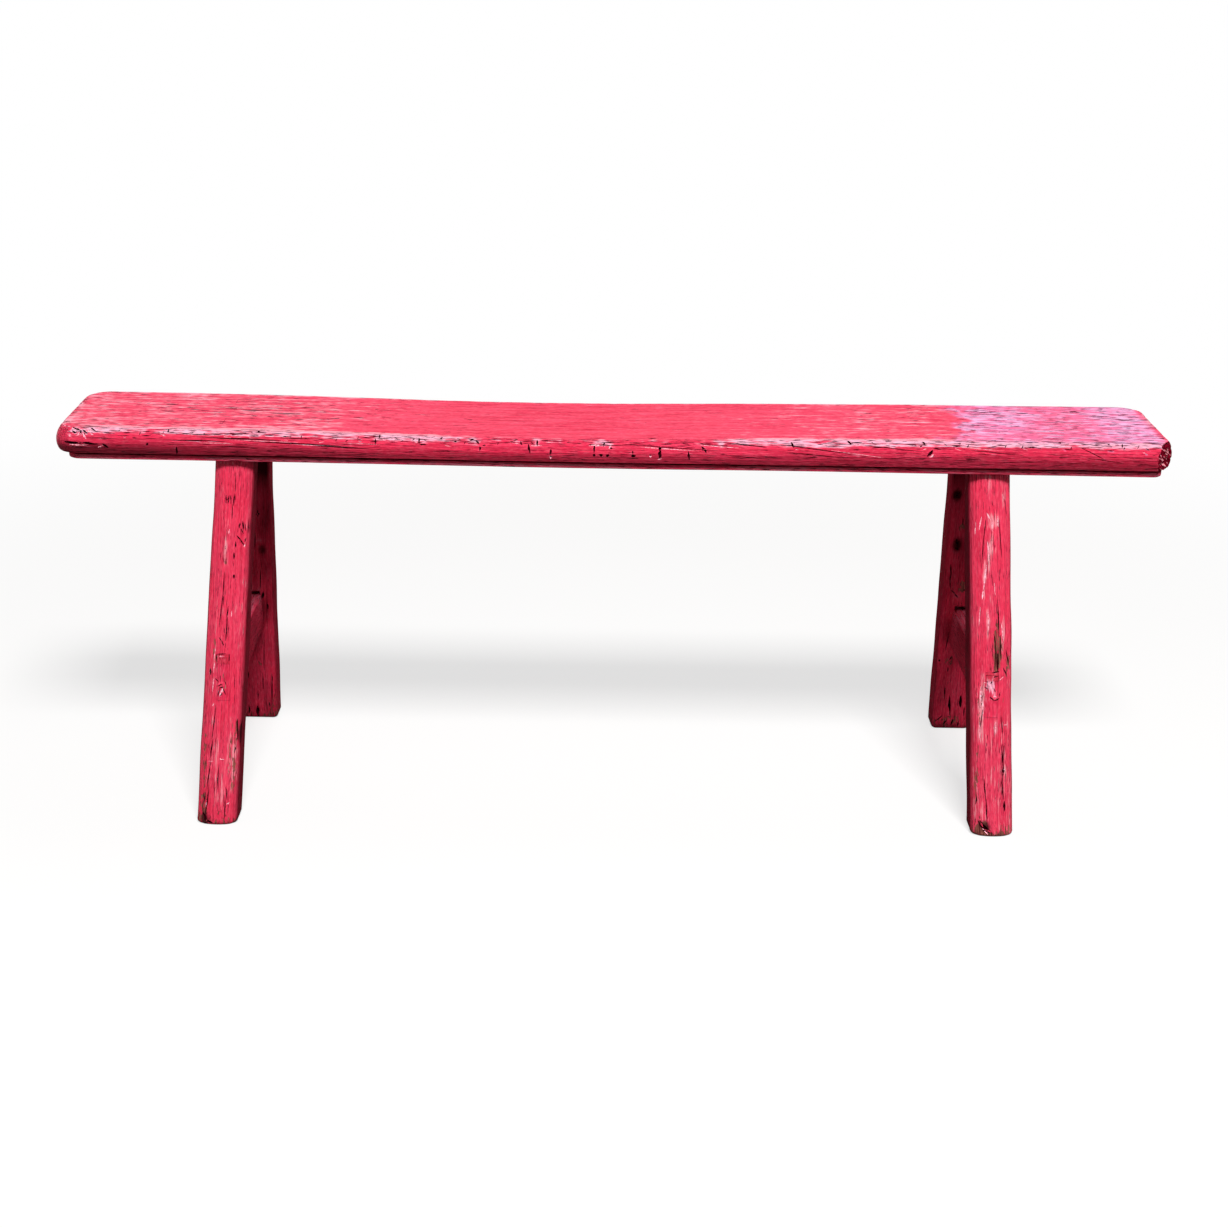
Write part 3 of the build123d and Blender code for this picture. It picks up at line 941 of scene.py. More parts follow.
# Pale strands torn out of it: how far along the break and up it, length, tilt
torn_strands = [
    (11, 14, 9, -48), (17, 18, 6, -40), (9, 9, 8, -50), (14, 4, 7, -35), (20, 9, 6, -50),
    (6, 22, 7, -60), (22, 24, 6, -45), (14, 27, 7, -30), (24, 15, 5, -40),
]


def on_break(along, up, out):
    """A point of the broken corner: along the break, up it and out of it, in mm."""
    return break_start + break_along * along + Vector((0, 0, up)) + break_facing * out


def crumpled(along, up):
    """How far the torn face stands out of the plane of the break, in mm."""
    coarse = noise.noise(Vector((along / 6, up / 4, 1)))
    fine = noise.noise(Vector((along / 2.2, up / 1.5 + along / 3, 7)))
    return 2.2 * coarse + 1.3 * fine


clear_selection()
bpy.ops.mesh.primitive_grid_add(x_subdivisions=44, y_subdivisions=34, size=1, location=(0, 0, 0))
breaker = bpy.context.object
edit(breaker)
bpy.ops.mesh.select_all(action="SELECT")
bpy.ops.transform.resize(value=(breaker_length * mm, breaker_height * mm, 1))
bpy.ops.mesh.extrude_region_move(TRANSFORM_OT_translate={"value": (0, 0, breaker_depth * mm)})
done_editing()
for point in breaker.data.vertices:
    along, up, out = (value / mm for value in point.co)
    along += breaker_shift
    up += breaker_height / 2
    if out < 1:
        out = crumpled(along, up)
    point.co = on_break(along, up, out) * mm
edit(breaker)
face_outwards()
done_editing()
cut_away(seat, breaker, torn_wood)

slivers = []
for along, up, length, tilt in torn_strands:
    slant = break_along * cos(radians(tilt)) + Vector((0, 0, sin(radians(tilt))))
    place = on_break(along, up, crumpled(along, up))
    slivers.append(gouge(place, slant, break_facing, length, 1.3, 1.0))
cut_all(seat, slivers, ground_coat_and_glints)
print("corner broken off:", len(seat.data.polygons), "faces")

# %% [markdown]
# The legs were hewn, not turned: nearly square in section, with a swell on the face that looks
# out and with corners that years have rounded. One leg is made upright as a pattern: a small
# grid for its sole, pushed up for the rounded foot and then in one long pull to the seat, and
# then divided along its length so that it can be dented. Its tenon is joined on top, and the
# slot for the wedge is cut into the tenon.

# %% The pattern leg
foot_profile = [(4.0, 0.0), (2.2, 0.9), (0.8, 2.4), (0.0, 4.6)]
outer_arris = 10
inner_arris = 6
crown = 4  # how much lower the outer face is at its sides than in its middle
crown_half = 19


def select_edges(piece, chosen):
    """Selects edges of the piece that is being edited; chosen picks them by their vector."""
    bpy.ops.mesh.select_mode(type="EDGE")
    bpy.ops.mesh.select_all(action="DESELECT")
    shape = bmesh.from_edit_mesh(piece.data)
    for edge in shape.edges:
        edge.select_set(chosen(edge.verts[0].co - edge.verts[1].co))
    bmesh.update_edit_mesh(piece.data)


clear_selection()
bpy.ops.mesh.primitive_grid_add(x_subdivisions=32, y_subdivisions=20, size=1, location=(0, 0, 0))
leg = bpy.context.object
leg.name = "pattern_leg"
wide, deep = leg_width[0], leg_depth[0]
edit(leg)
bpy.ops.mesh.select_all(action="SELECT")
push_up(foot_profile, wide, deep)
shaft = (seat_underside - foot_profile[-1][1]) * mm
bpy.ops.mesh.extrude_region_move(TRANSFORM_OT_translate={"value": (0, 0, shaft)})
select_edges(leg, lambda run: run.length > 0.9 * shaft)
bpy.ops.mesh.subdivide(number_cuts=140)
face_outwards()
bpy.ops.mesh.select_mode(type="VERT")
done_editing()

for point in leg.data.vertices:
    u, v, height = (value / mm for value in point.co)
    inset = 0
    for (low_inset, low), (high_inset, high) in zip(foot_profile, foot_profile[1:]):
        if low <= height <= high:
            inset = low_inset + (high_inset - low_inset) * (height - low) / (high - low)
    radius = (outer_arris if v > 0 else inner_arris) - inset * 0.5
    u, v = round_corner(u, v, wide / 2 - inset, deep / 2 - inset, radius)
    if v > 0:
        v *= 1 - crown / (deep / 2) * min(1.0, (abs(u) / crown_half) ** 2)
    point.co = (u * mm, v * mm, height * mm)
line(leg, leg_enamel)
print("pattern leg:", len(leg.data.polygons), "faces")

# %% Its tenon, with the slot for the wedge
tenon_root = 1  # how far the tenon reaches down into the leg, so that the two join
wedge_top, wedge_tip, wedge_length = 5.0, 1.5, 30

clear_selection()
bpy.ops.mesh.primitive_grid_add(x_subdivisions=12, y_subdivisions=8, size=1,
                                location=(0, 0, (seat_underside - tenon_root) * mm))
tenon = bpy.context.object
edit(tenon)
bpy.ops.mesh.select_all(action="SELECT")
bpy.ops.transform.resize(value=(tenon_width * mm, tenon_depth * mm, 1))
rise = (seat_thickness + tenon_root) * mm
bpy.ops.mesh.extrude_region_move(TRANSFORM_OT_translate={"value": (0, 0, rise)})
face_outwards()
done_editing()
take(tenon)
bpy.ops.object.transform_apply(location=True, rotation=True, scale=True)
tenon.data.materials.append(red_enamel)
combine(leg, tenon, "UNION")

slot = block((wedge_top + 2 * joint_gap, tenon_depth + 4), seat_height - wedge_length - joint_gap,
             seat_height + 1, taper=(wedge_tip + 2 * joint_gap) / (wedge_top + 2 * joint_gap))
cut_away(leg, slot)
print("with its tenon:", len(leg.data.polygons), "faces", [round(side, 3) for side in leg.dimensions])

# %% The wedge of a leg tenon
leg_wedge = block((wedge_top, tenon_depth), seat_height - wedge_length, seat_height,
                  taper=wedge_tip / wedge_top)
leg_wedge.name = "pattern_leg_wedge"
edit(leg_wedge)
bpy.ops.mesh.select_all(action="SELECT")
bpy.ops.mesh.subdivide(number_cuts=5)
done_editing()
line(leg_wedge, wedge_enamel)
print("pattern wedge:", len(leg_wedge.data.polygons), "faces")

# %% [markdown]
# Now the pattern leg is copied four times, and every copy is leaned into its own place. The
# hewing is different on each leg, because the noise that dents it reads the leg's place. The
# top of each tenon is worn to the same surface as the seat around it.

# %% Four raked legs
def hewn(u, v, height, seed):
    """How far the axe and the weather left a leg's surface off the true shape, in mm."""
    broad = noise.noise(Vector((u / 24 + seed, v / 24, height / 70)))
    fine = noise.noise(Vector((u / 6 + seed, v / 6, height / 45)))
    return 0.9 * broad + 0.45 * fine


# How far the outer and the inner side of each leg stand out, at the top and at the foot
side_swell = {
    (LEFT, FRONT): ((-2.0, 0.2), (0.0, -2.6)),
    (RIGHT, FRONT): ((2.6, -0.2), (-0.4, -0.3)),
    (LEFT, BACK): ((0.0, 0.0), (-0.5, -1.4)),
    (RIGHT, BACK): ((0.0, 0.0), (-0.6, -1.4)),
}


def swollen(u, height, side, row):
    """A leg's own width: moves a point of the pattern out or in on its outer or inner side."""
    outer, inner = side_swell[side, row]
    more = at_height(outer if side * row * u > 0 else inner, height)
    return u * (1 + more / (leg_width[0] / 2))


def leg_seed(side, row):
    return 20 * side + 7 * row


def on_leg(x, height, side, row):
    """Place and facing of a point on the hewn face of a leg that looks away from the bench."""
    wide = at_height(leg_width, height) / leg_width[0]
    deep = at_height(leg_depth, height) / leg_depth[0]
    u = row * (x - leg_x(side, height)) / wide
    v = leg_depth[0] / 2 - crown * min(1.0, abs(u) / crown_half) ** 2
    v += hewn(u, v, height, leg_seed(side, row))
    place = Vector((x, row * (leg_reach(height) + v * deep), height))
    return place, Vector((0.02 * u * row, row, 0.26)).normalized()


tenon_sunk = 0.12  # how far its top lies below the worn surface of the seat, in mm
wedge_sunk = 0.05
legs = {}
leg_wedges = {}
facings = [point.normal.copy() for point in leg.data.vertices]
for side, row in corners:
    seed = leg_seed(side, row)
    piece = copy_of(leg, f"leg_{row_name[row]}_{side_name[side]}")
    for point, outward in zip(piece.data.vertices, facings):
        u, v, height = (value / mm for value in point.co)
        if height < seat_underside - 0.5:
            push = hewn(u, v, height, seed) * smooth_step(height, 0, 8)
            u = swollen(u + outward.x * push, height, side, row)
            v += outward.y * push
        place = stand_on_leg(u, v, height, side, row)
        if height > seat_height - 0.1:
            place.z = seat_top(place.x, place.y) - tenon_sunk
        point.co = place * mm
    legs[side, row] = piece

    wedge = copy_of(leg_wedge, f"leg_wedge_{row_name[row]}_{side_name[side]}")
    for point in wedge.data.vertices:
        u, v, height = (value / mm for value in point.co)
        place = stand_on_leg(u, v, height, side, row)
        if height > seat_height - 0.1:
            place.z = seat_top(place.x, place.y) - wedge_sunk
        point.co = place * mm
    leg_wedges[side, row] = wedge
bpy.data.objects.remove(leg)
bpy.data.objects.remove(leg_wedge)
print("legs:", [piece.name for piece in legs.values()])

# %% [markdown]
# Each cross rail is a thin board whose tenons go through the legs. The mortise is a little
# higher than the tenon, and a wedge driven in from outside, over the tenon, fills the outer
# part of it. Seen from the inside, a dark gap stays open over the rail.

# %% Mortises for the rails
def inner_reach(height):
    return leg_reach(height) - at_height(leg_depth, height) / 2


def outer_reach(height):
    return leg_reach(height) + at_height(leg_depth, height) / 2


through_leg = 120  # much longer than the leg is deep, so that it cuts right through
for side, row in corners:
    bottom = rail_top[side] - rail_height + rail_tenon_shoulder - joint_gap
    top = rail_top[side] + mortise_rise
    mortise = block((rail_tenon_thickness + 2 * joint_gap, through_leg), bottom, top)
    middle_height = rail_top[side] - rail_height / 2
    for point in mortise.data.vertices:
        point.co.x += leg_x(side, middle_height) * mm
        point.co.y += row * leg_reach(middle_height) * mm
    cut_away(legs[side, row], mortise)
print("rail mortises cut, front left leg has", len(legs[LEFT, FRONT].data.polygons), "faces")

# %% The left cross rail
rail_arris = 2.6
bottom = rail_top[LEFT] - rail_height
top = rail_top[LEFT]
rail = block((rail_thickness, 2 * inner_reach(top)), bottom, top)
rail.name = "rail_left"
for point in rail.data.vertices:
    height = point.co.z / mm
    point.co.y = inner_reach(height) * mm * (1 if point.co.y > 0 else -1)
edit(rail)
select_edges(rail, lambda run: abs(run.y) > 0.1)
bpy.ops.mesh.bevel(offset=rail_arris * mm, segments=3, affect="EDGES")
select_edges(rail, lambda run: abs(run.y) > 0.1)
bpy.ops.mesh.subdivide(number_cuts=59)
done_editing()
line(rail, red_enamel)
print("rail:", len(rail.data.polygons), "faces")

# %% Its tenons, and the right rail
end_zone = 1.6  # points this close under the leg's face belong to the end of a tenon or wedge
end_sunk = 0.15  # and are brought this far below its surface

for row in (FRONT, BACK):
    tenon_foot = bottom + rail_tenon_shoulder
    root = inner_reach(top) - rail_tenon_root
    tip = outer_reach(top) - rail_tenon_reveal
    made = block((rail_tenon_thickness, tip - root), tenon_foot, top - 0.05)
    for point in made.data.vertices:
        height = point.co.z / mm
        is_tip = (point.co.y > 0) == (row > 0)
        is_top = height > (tenon_foot + top) / 2
        if is_tip:
            reach = (outer_reach(top) if is_top else outer_reach(tenon_foot)) - rail_tenon_reveal
        else:
            reach = (inner_reach(top) if is_top else inner_reach(tenon_foot)) - rail_tenon_root
        fall = rail_wedge_fall if is_tip and is_top else 0
        point.co = (point.co.x, row * reach * mm, (height - fall) * mm)
    edit(made)
    face_outwards()
    bpy.ops.mesh.subdivide(number_cuts=7)
    done_editing()
    made.data.materials.append(red_enamel)
    combine(rail, made, "UNION")

rails = {LEFT: rail, RIGHT: copy_of(rail, "rail_right")}
spread = inner_reach(rail_top[RIGHT]) / inner_reach(rail_top[LEFT])
for side, piece in rails.items():
    middle_height = rail_top[side] - rail_height / 2
    facings = [point.normal.copy() for point in piece.data.vertices]
    for point, outward in zip(piece.data.vertices, facings):
        x, y, z = (value / mm for value in point.co)
        if abs(y) < inner_reach(top) - 3:
            push = hewn(z, x, y + 300, 5 * side) * 0.6
            x += outward.x * push
            z += outward.z * push
        is_end = abs(y) > outer_reach(z) - end_zone and abs(x) < rail_tenon_thickness / 2 + 0.01
        if side == RIGHT:
            y *= spread
            z += rail_top[RIGHT] - rail_top[LEFT]
        x += leg_x(side, middle_height)
        if is_end:
            row = FRONT if y < 0 else BACK
            y = on_leg(x, z, side, row)[0].y - row * end_sunk
        point.co = Vector((x, y, z)) * mm
print("rails:", [piece.name for piece in rails.values()])

# %% Wedges over the rail tenons
rail_wedges = {}
for side, row in corners:
    head = rail_top[side] + mortise_rise - joint_gap
    tip_reach = outer_reach(rail_top[side]) - rail_tenon_reveal
    end_reach = tip_reach - rail_wedge_length
    root_reach = inner_reach(rail_top[side])
    slope = rail_wedge_fall / (tip_reach - root_reach)
    wedge = block((rail_tenon_thickness, rail_wedge_length), rail_top[side] - rail_wedge_fall, head)
    wedge.name = f"rail_wedge_{row_name[row]}_{side_name[side]}"
    middle_height = rail_top[side] - rail_height / 2
    for point in wedge.data.vertices:
        is_outer = (point.co.y > 0) == (row > 0)
        is_top = point.co.z > rail_top[side] * mm
        outer_end = outer_reach(head) - rail_tenon_reveal if is_top else tip_reach
        reach = outer_end if is_outer else end_reach
        height = head if is_top else rail_top[side] - slope * (reach - root_reach) + joint_gap
        point.co = Vector((point.co.x / mm + leg_x(side, middle_height), row * reach, height)) * mm
    edit(wedge)
    face_outwards()
    bpy.ops.mesh.subdivide(number_cuts=6)
    done_editing()
    for point in wedge.data.vertices:
        x, y, z = (value / mm for value in point.co)
        if abs(y) > outer_reach(z) - end_zone:
            # one wedge was driven in deeper than the others
            sunk = 0.5 if (side, row) == (LEFT, FRONT) else end_sunk
            point.co.y = (on_leg(x, z, side, row)[0].y - row * sunk) * mm
    line(wedge, wedge_enamel)
    rail_wedges[side, row] = wedge
print("rail wedges:", len(rail_wedges))

# %% [markdown]
# The legs have long splits along the grain, dents, and ragged places round the rail joints,
# where wedges were driven and paint never held. The marks of the two front legs are placed
# one by one; the rest of each leg gets a scatter of the same kind.

# %% Marks in the legs: x, height, length, tilt, width, depth
leg_marks = {
    (LEFT, FRONT): [
        # the long split from the top, and the ticks beside it
        (-477, 423, 26, 87, 1.1, 1.6), (-479, 402, 16, 85, 1.6, 2.2), (-481, 387, 20, 87, 1.1, 1.6),
        (-489, 404, 7, -86, 1.3, 1.5), (-486, 402, 9, -89, 1.3, 1.5), (-483, 404, 7, -90, 1.3, 1.5),
        (-488, 402, 6, -17, 1.2, 1.3), (-472, 370, 7, 76, 1.6, 1.8), (-468, 370, 10, -90, 1.8, 2.2),
        (-465, 367, 11, -86, 1.4, 1.8), (-469, 363, 8, -67, 1.4, 1.6), (-473, 355, 8, -51, 1.8, 2.2),
        (-469, 349, 9, -60, 1.9, 2.4), (-465, 352, 7, 69, 1.5, 1.8), (-477, 347, 8, -90, 2.0, 2.4),
        (-479, 333, 9, 88, 2.2, 2.6), (-479, 308, 5, -90, 3.2, 3.4),
        # two long splits down the middle
        (-492, 296, 38, 89, 1.3, 2.0), (-495, 268, 50, 85, 1.2, 1.8), (-487, 262, 22, 84, 1.5, 2.2),
        (-488, 244, 32, 86, 1.7, 2.6), (-496, 231, 6, -49, 1.5, 1.8), (-493, 226, 7, -65, 1.5, 1.8),
        # round the joint of the rail
        (-501, 208, 10, 88, 1.4, 2.0), (-485, 207, 12, 86, 1.5, 2.2), (-494, 213, 12, 2, 1.3, 1.8),
        (-494, 200, 6, 70, 1.4, 1.8), (-497, 192, 7, -70, 1.4, 2.0), (-490.5, 189, 7, 60, 1.4, 2.0),
        (-500, 180, 8, -50, 1.6, 2.2), (-495, 184, 9, 30, 1.4, 2.0), (-490, 178, 9, -60, 1.6, 2.2),
        (-496, 175, 8, 20, 1.6, 2.2), (-498, 166, 12, 80, 1.4, 2.2), (-491, 167, 10, -70, 1.4, 2.2),
        (-494, 172, 6, 10, 1.6, 2.0), (-495, 163, 5, 60, 1.8, 2.6), (-509, 190, 9, -80, 3.0, 3.0),
        # long dark lines down to the foot
        (-504, 128, 48, 86, 1.3, 1.8), (-507, 96, 26, 85, 1.8, 2.4), (-511, 61, 38, 85, 1.5, 2.2),
        (-513, 29, 34, 86, 1.8, 2.4), (-499, 59, 38, 86, 1.3, 1.8), (-488, 40, 18, -88, 1.5, 2.2),
        (-490, 21, 28, 85, 1.7, 2.4), (-474, 116, 36, 86, 2.8, 3.4), (-477, 95, 16, 70, 1.4, 1.8),
        (-516, 10, 14, -60, 4.0, 4.0), (-510, 5, 10, -20, 3.4, 3.4), (-516, 34, 14, 88, 1.6, 2.0),
    ],
    (RIGHT, FRONT): [
        (487, 369, 58, -88, 1.3, 1.8), (465, 353, 46, -89, 1.2, 1.6), (467, 383, 30, 89, 1.1, 1.4),
        (493, 410, 24, -88, 1.1, 1.4), (488, 271, 54, -89, 1.5, 2.2), (478, 322, 22, -86, 1.0, 1.4),
        # the bare patch over the joint
        (489, 218, 24, 89, 2.6, 3.0), (486, 229, 36, -89, 1.7, 2.4), (492, 236, 34, 89, 1.9, 2.4),
        (484, 246, 16, -80, 1.4, 1.8), (502, 223, 24, -81, 2.2, 2.6), (499, 206, 12, -60, 1.8, 2.2),
        (487, 206, 11, 12, 1.8, 2.4), (487, 200, 9, 19, 1.8, 2.4),
        # the star and the nick below it
        (482, 193, 6, 60, 2.0, 2.6), (476, 186, 7, -30, 1.6, 2.0), (486, 184, 8, -60, 1.5, 2.0),
        (483, 173, 9, -39, 1.9, 2.6), (489, 172, 9, 22, 1.9, 2.6), (493, 178, 6, 80, 1.4, 1.8),
        # down to the foot
        (497, 140, 28, -87, 1.5, 2.0), (499, 102, 32, -84, 1.5, 2.0), (501, 83, 6, -88, 3.6, 3.4),
        (501, 61, 30, -87, 1.4, 1.8), (504, 39, 14, -88, 3.0, 2.8), (468, 45, 11, 88, 1.7, 2.2),
        (478, 59, 30, -82, 1.7, 2.6), (481, 34, 30, -84, 1.7, 2.6), (479, 13, 24, -38, 6.0, 5.0),
        (483, 8, 14, -20, 4.0, 4.0), (475, 17, 10, -60, 3.0, 3.0), (471, 150, 26, 88, 1.2, 1.6),
    ],
    (LEFT, BACK): [(-484, 208, 13, 88, 1.6, 2.6), (-498, 206, 13, 88, 1.6, 2.6)],
    (RIGHT, BACK): [(474, 203, 13, 88, 1.6, 2.6), (486, 200, 13, 88, 1.6, 2.6)],
}
print("marks in the outer faces:", sum(len(marks) for marks in leg_marks.values()))

# %% Marks in the inner faces of the back legs: splits, knots and worm-eaten slots near the feet
inner_marks = {
    (LEFT, BACK): [
        (-477, 332, 6, 30, 3.4, 3.0), (-481, 232, 36, 86, 1.7, 2.4), (-480, 205, 13, 80, 3.6, 3.4),
        (-479, 45, 68, 86, 1.9, 2.6), (-499, 40, 20, 86, 1.7, 2.2), (-501.5, 12, 20, 88, 5.0, 7.0),
        (-513, 14, 14, 80, 2.4, 3.2), (-510, 73, 14, 86, 1.7, 2.2), (-490, 64, 30, 88, 1.3, 1.8),
        (-470, 62, 32, 84, 1.3, 1.8), (-474, 26, 24, 88, 1.6, 2.2), (-486, 100, 40, 86, 1.2, 1.6),
        (-466, 150, 50, 87, 1.3, 1.8), (-484, 290, 30, 85, 1.3, 1.8),
    ],
    (RIGHT, BACK): [
        (457, 379, 8, 70, 2.6, 2.6), (465, 307, 12, -80, 3.0, 2.8), (466, 297, 8, -40, 2.4, 2.4),
        (462, 262, 24, -83, 2.2, 2.8), (463, 245, 24, -84, 1.7, 2.4), (469, 229, 10, -45, 2.0, 2.6),
        (474, 223, 10, -50, 1.8, 2.4), (484, 232, 4, 20, 2.0, 2.0), (462, 116, 6, 80, 3.0, 2.6),
        (478, 121, 9, 70, 2.0, 2.2), (476, 63, 18, -84, 2.2, 3.2), (485.5, 41, 36, -84, 3.4, 5.4),
        (500.5, 48, 22, -85, 5.0, 6.4), (482, 12, 9, 60, 2.6, 3.2), (492, 12, 12, 80, 2.6, 3.2),
        (501, 10, 10, 88, 2.6, 3.2), (472, 18, 16, 50, 1.7, 2.2), (470, 150, 40, 86, 1.2, 1.6),
    ],
}
print("marks in the inner faces:", sum(len(marks) for marks in inner_marks.values()))

# %% Fresh chips in the front legs, where the pale ground coat shows, partly as painted glints: the same six numbers
leg_chips = {
    (LEFT, FRONT): [
        (-494, 210, 13, 2, 1.6, 0.9), (-493, 205, 12, 2, 1.3, 0.8), (-496, 197, 8, 80, 1.7, 1.0),
        (-492, 193, 7, -80, 1.5, 1.0), (-498, 184, 6, -30, 1.5, 1.0), (-492, 181, 7, 40, 1.5, 1.0),
        (-494.5, 166, 12, 75, 3.2, 1.4), (-504, 196, 16, 86, 1.4, 0.8), (-505, 176, 22, 86, 1.2, 0.8),
        (-485, 363, 6, 83, 1.6, 0.8), (-469, 239, 10, -73, 1.2, 0.7), (-509, 80, 8, 1, 1.5, 0.8),
        (-494, 83, 6, -11, 1.3, 0.7), (-486, 28, 6, 34, 1.8, 1.0), (-473, 117, 5, 86, 2.4, 1.4),
        (-491, 180, 9, -10, 1.6, 1.2), (-503, 215, 20, 85, 1.1, 0.6), (-513, 165, 6, 70, 1.4, 0.8),
        (-466, 345, 6, 60, 1.5, 0.9), (-514, 26, 8, 80, 1.6, 0.9), (-468, 300, 7, 80, 1.0, 0.6),
        (-472, 222, 5, 85, 1.3, 0.7), (-505, 150, 5, 80, 1.3, 0.7), (-482, 262, 9, 86, 1.0, 0.6),
    ],
    (RIGHT, FRONT): [
        (461, 388, 18, 85, 1.8, 0.9), (476, 386, 16, 90, 1.8, 0.9), (483, 390, 16, -86, 2.0, 0.9),
        (471, 397, 12, -60, 2.0, 0.9), (455, 378, 26, -87, 1.3, 0.7), (469, 322, 34, 87, 2.2, 0.9),
        (467, 301, 14, 86, 1.8, 0.8), (482, 308, 18, -85, 1.4, 0.8), (472, 355, 26, -83, 1.8, 0.8),
        (494, 254, 40, -84, 1.7, 0.9), (477, 192, 10, -15, 2.8, 1.5), (483, 189, 10, -27, 2.8, 1.5),
        (480, 189, 17, 67, 2.4, 1.4), (482, 186, 13, -78, 2.6, 1.5), (486, 176, 10, -10, 1.6, 1.0),
        (469, 178, 22, -85, 2.0, 0.9), (472, 160, 22, -83, 1.8, 0.9), (469, 132, 24, -84, 1.6, 0.8),
        (489, 137, 18, -90, 1.5, 0.8), (502, 140, 5, 0, 2.0, 1.0), (466, 70, 26, -89, 1.4, 0.8),
        (478, 10, 19, -47, 2.4, 2.6), (501, 84, 5, 30, 1.6, 1.2), (495, 198, 8, 40, 1.6, 0.9),
        (464, 273, 30, -89, 1.3, 0.7), (475, 268, 40, -86, 1.2, 0.7), (489, 421, 20, -86, 1.3, 0.7),
    ],
}
print("fresh chips:", sum(len(chips) for chips in leg_chips.values()))

# %% Rubbed, bare, dirty and shaded places, whose pale streaks are partly painted glints: what, x, height, half width, half height, how much
leg_spots = {
    (LEFT, FRONT): [
        ("worn", -489, 335, 3.5, 30, 0.5), ("bare", -489, 330, 3, 24, 0.5),
        ("bare", -509, 400, 4, 46, 0.5), ("bare", -503, 215, 4, 24, 0.5),
        ("bare", -494, 176, 9, 18, 0.35), ("bare", -481, 82, 7, 66, 0.4),
        ("worn", -481, 90, 10, 70, 0.4), ("bare", -516, 80, 4, 50, 0.5),
        ("bare", -517, 22, 7, 30, 0.7), ("dirt_and_shade", -516, 8, 8, 12, 0.8),
        ("bare", -474, 116, 6, 22, 0.5), ("dirt_and_shade", -471, 112, 4, 20, 0.6),
        ("worn", -505, 170, 10, 120, 0.2), ("bare", -470, 8, 12, 10, 0.5),
        ("checked", -484, 402, 9, 10, 0.3), ("checked", -468, 366, 10, 16, 0.2),
        ("worn", -474, 240, 10, 60, 0.25), ("worn", -500, 60, 16, 60, 0.2),
    ],
    (RIGHT, FRONT): [
        ("worn", 476, 392, 15, 14, 0.42), ("worn", 471, 430, 4, 26, 0.35),
        ("worn", 490, 420, 4, 24, 0.4), ("worn", 474, 350, 5, 44, 0.42),
        ("worn", 468, 314, 4, 44, 0.5), ("worn", 475, 268, 4, 60, 0.42),
        ("bare", 486, 268, 4, 30, 0.6), ("bare", 488, 228, 9, 34, 0.85),
        ("dirt_and_shade", 489, 222, 5, 20, 0.45), ("worn", 495, 250, 3, 34, 0.5),
        ("bare", 502, 214, 5, 20, 0.5), ("worn", 481, 189, 9, 12, 0.4),
        ("worn", 470, 175, 5, 46, 0.5), ("bare", 468, 150, 5, 60, 0.4),
        ("worn", 470, 130, 5, 24, 0.4), ("worn", 489, 138, 5, 20, 0.35),
        ("bare", 467, 72, 4, 44, 0.55), ("bare", 477, 12, 11, 13, 0.7),
        ("dirt_and_shade", 480, 13, 9, 10, 0.9), ("bare", 490, 3, 26, 4, 0.4),
        ("checked", 500, 90, 3, 60, 0.4),
    ],
    (LEFT, BACK): [
        ("dirt_and_shade", -475, 277, 8, 11, 0.5), ("worn", -476, 292, 9, 6, 0.5),
        ("bare", -491, 92, 5, 7, 0.6), ("dirt_and_shade", -501, 12, 5, 16, 0.5),
        ("bare", -472, 30, 10, 24, 0.4), ("dirt_and_shade", -482, 180, 10, 30, 0.35),
        ("dirt_and_shade", -500, 130, 8, 30, 0.25), ("worn", -490, 215, 14, 16, 0.4),
    ],
    (RIGHT, BACK): [
        ("dirt_and_shade", 457, 379, 8, 12, 0.7), ("dirt_and_shade", 465, 303, 9, 16, 0.7),
        ("bare", 469, 331, 9, 8, 0.75), ("bare", 480, 237, 10, 14, 0.8),
        ("bare", 477, 118, 9, 18, 0.6), ("worn", 485, 60, 24, 60, 0.2),
        ("dirt_and_shade", 466, 165, 12, 34, 0.4), ("bare", 486, 20, 24, 14, 0.35),
        ("worn", 478, 222, 14, 12, 0.4), ("dirt_and_shade", 484, 6, 30, 8, 0.4),
    ],
}
print("painted spots:", sum(len(spots) for spots in leg_spots.values()))

# %% [markdown]
# The marks of a leg are cut like those of the seat: fresh chips first, then the dark ones. A
# mark at a joint also goes into the rail and the wedge that end there. Then a scatter of long
# splits is laid on the inner, left and right faces in turn.

# %% Cutting the marks in the legs
leg_scatter = 16


def up_the_leg(side, row):
    """The direction in which a leg leans."""
    top = stand_on_leg(0, 0, seat_underside, side, row)
    return (top - stand_on_leg(0, 0, 0, side, row)).normalized()


def on_inner_face(x, height, side, row):
    """Place and facing of a point on the face of a leg that looks at the opposite leg."""
    place = Vector((x, row * (leg_reach(height) - at_height(leg_depth, height) / 2), height))
    return place, Vector((0, -row, -0.26)).normalized()


def cut_marks_in_leg(marks, side, row, surface=on_leg):
    """One cutter for each mark on the outer or inner face of a leg."""
    made = []
    for x, height, length, tilt, width, depth in marks:
        place, outward = surface(x, height, side, row)
        along = Vector((cos(radians(tilt)), 0, sin(radians(tilt))))
        made.append(gouge(place, along, outward, length, width, depth))
        mark_places.append(place)
    return made


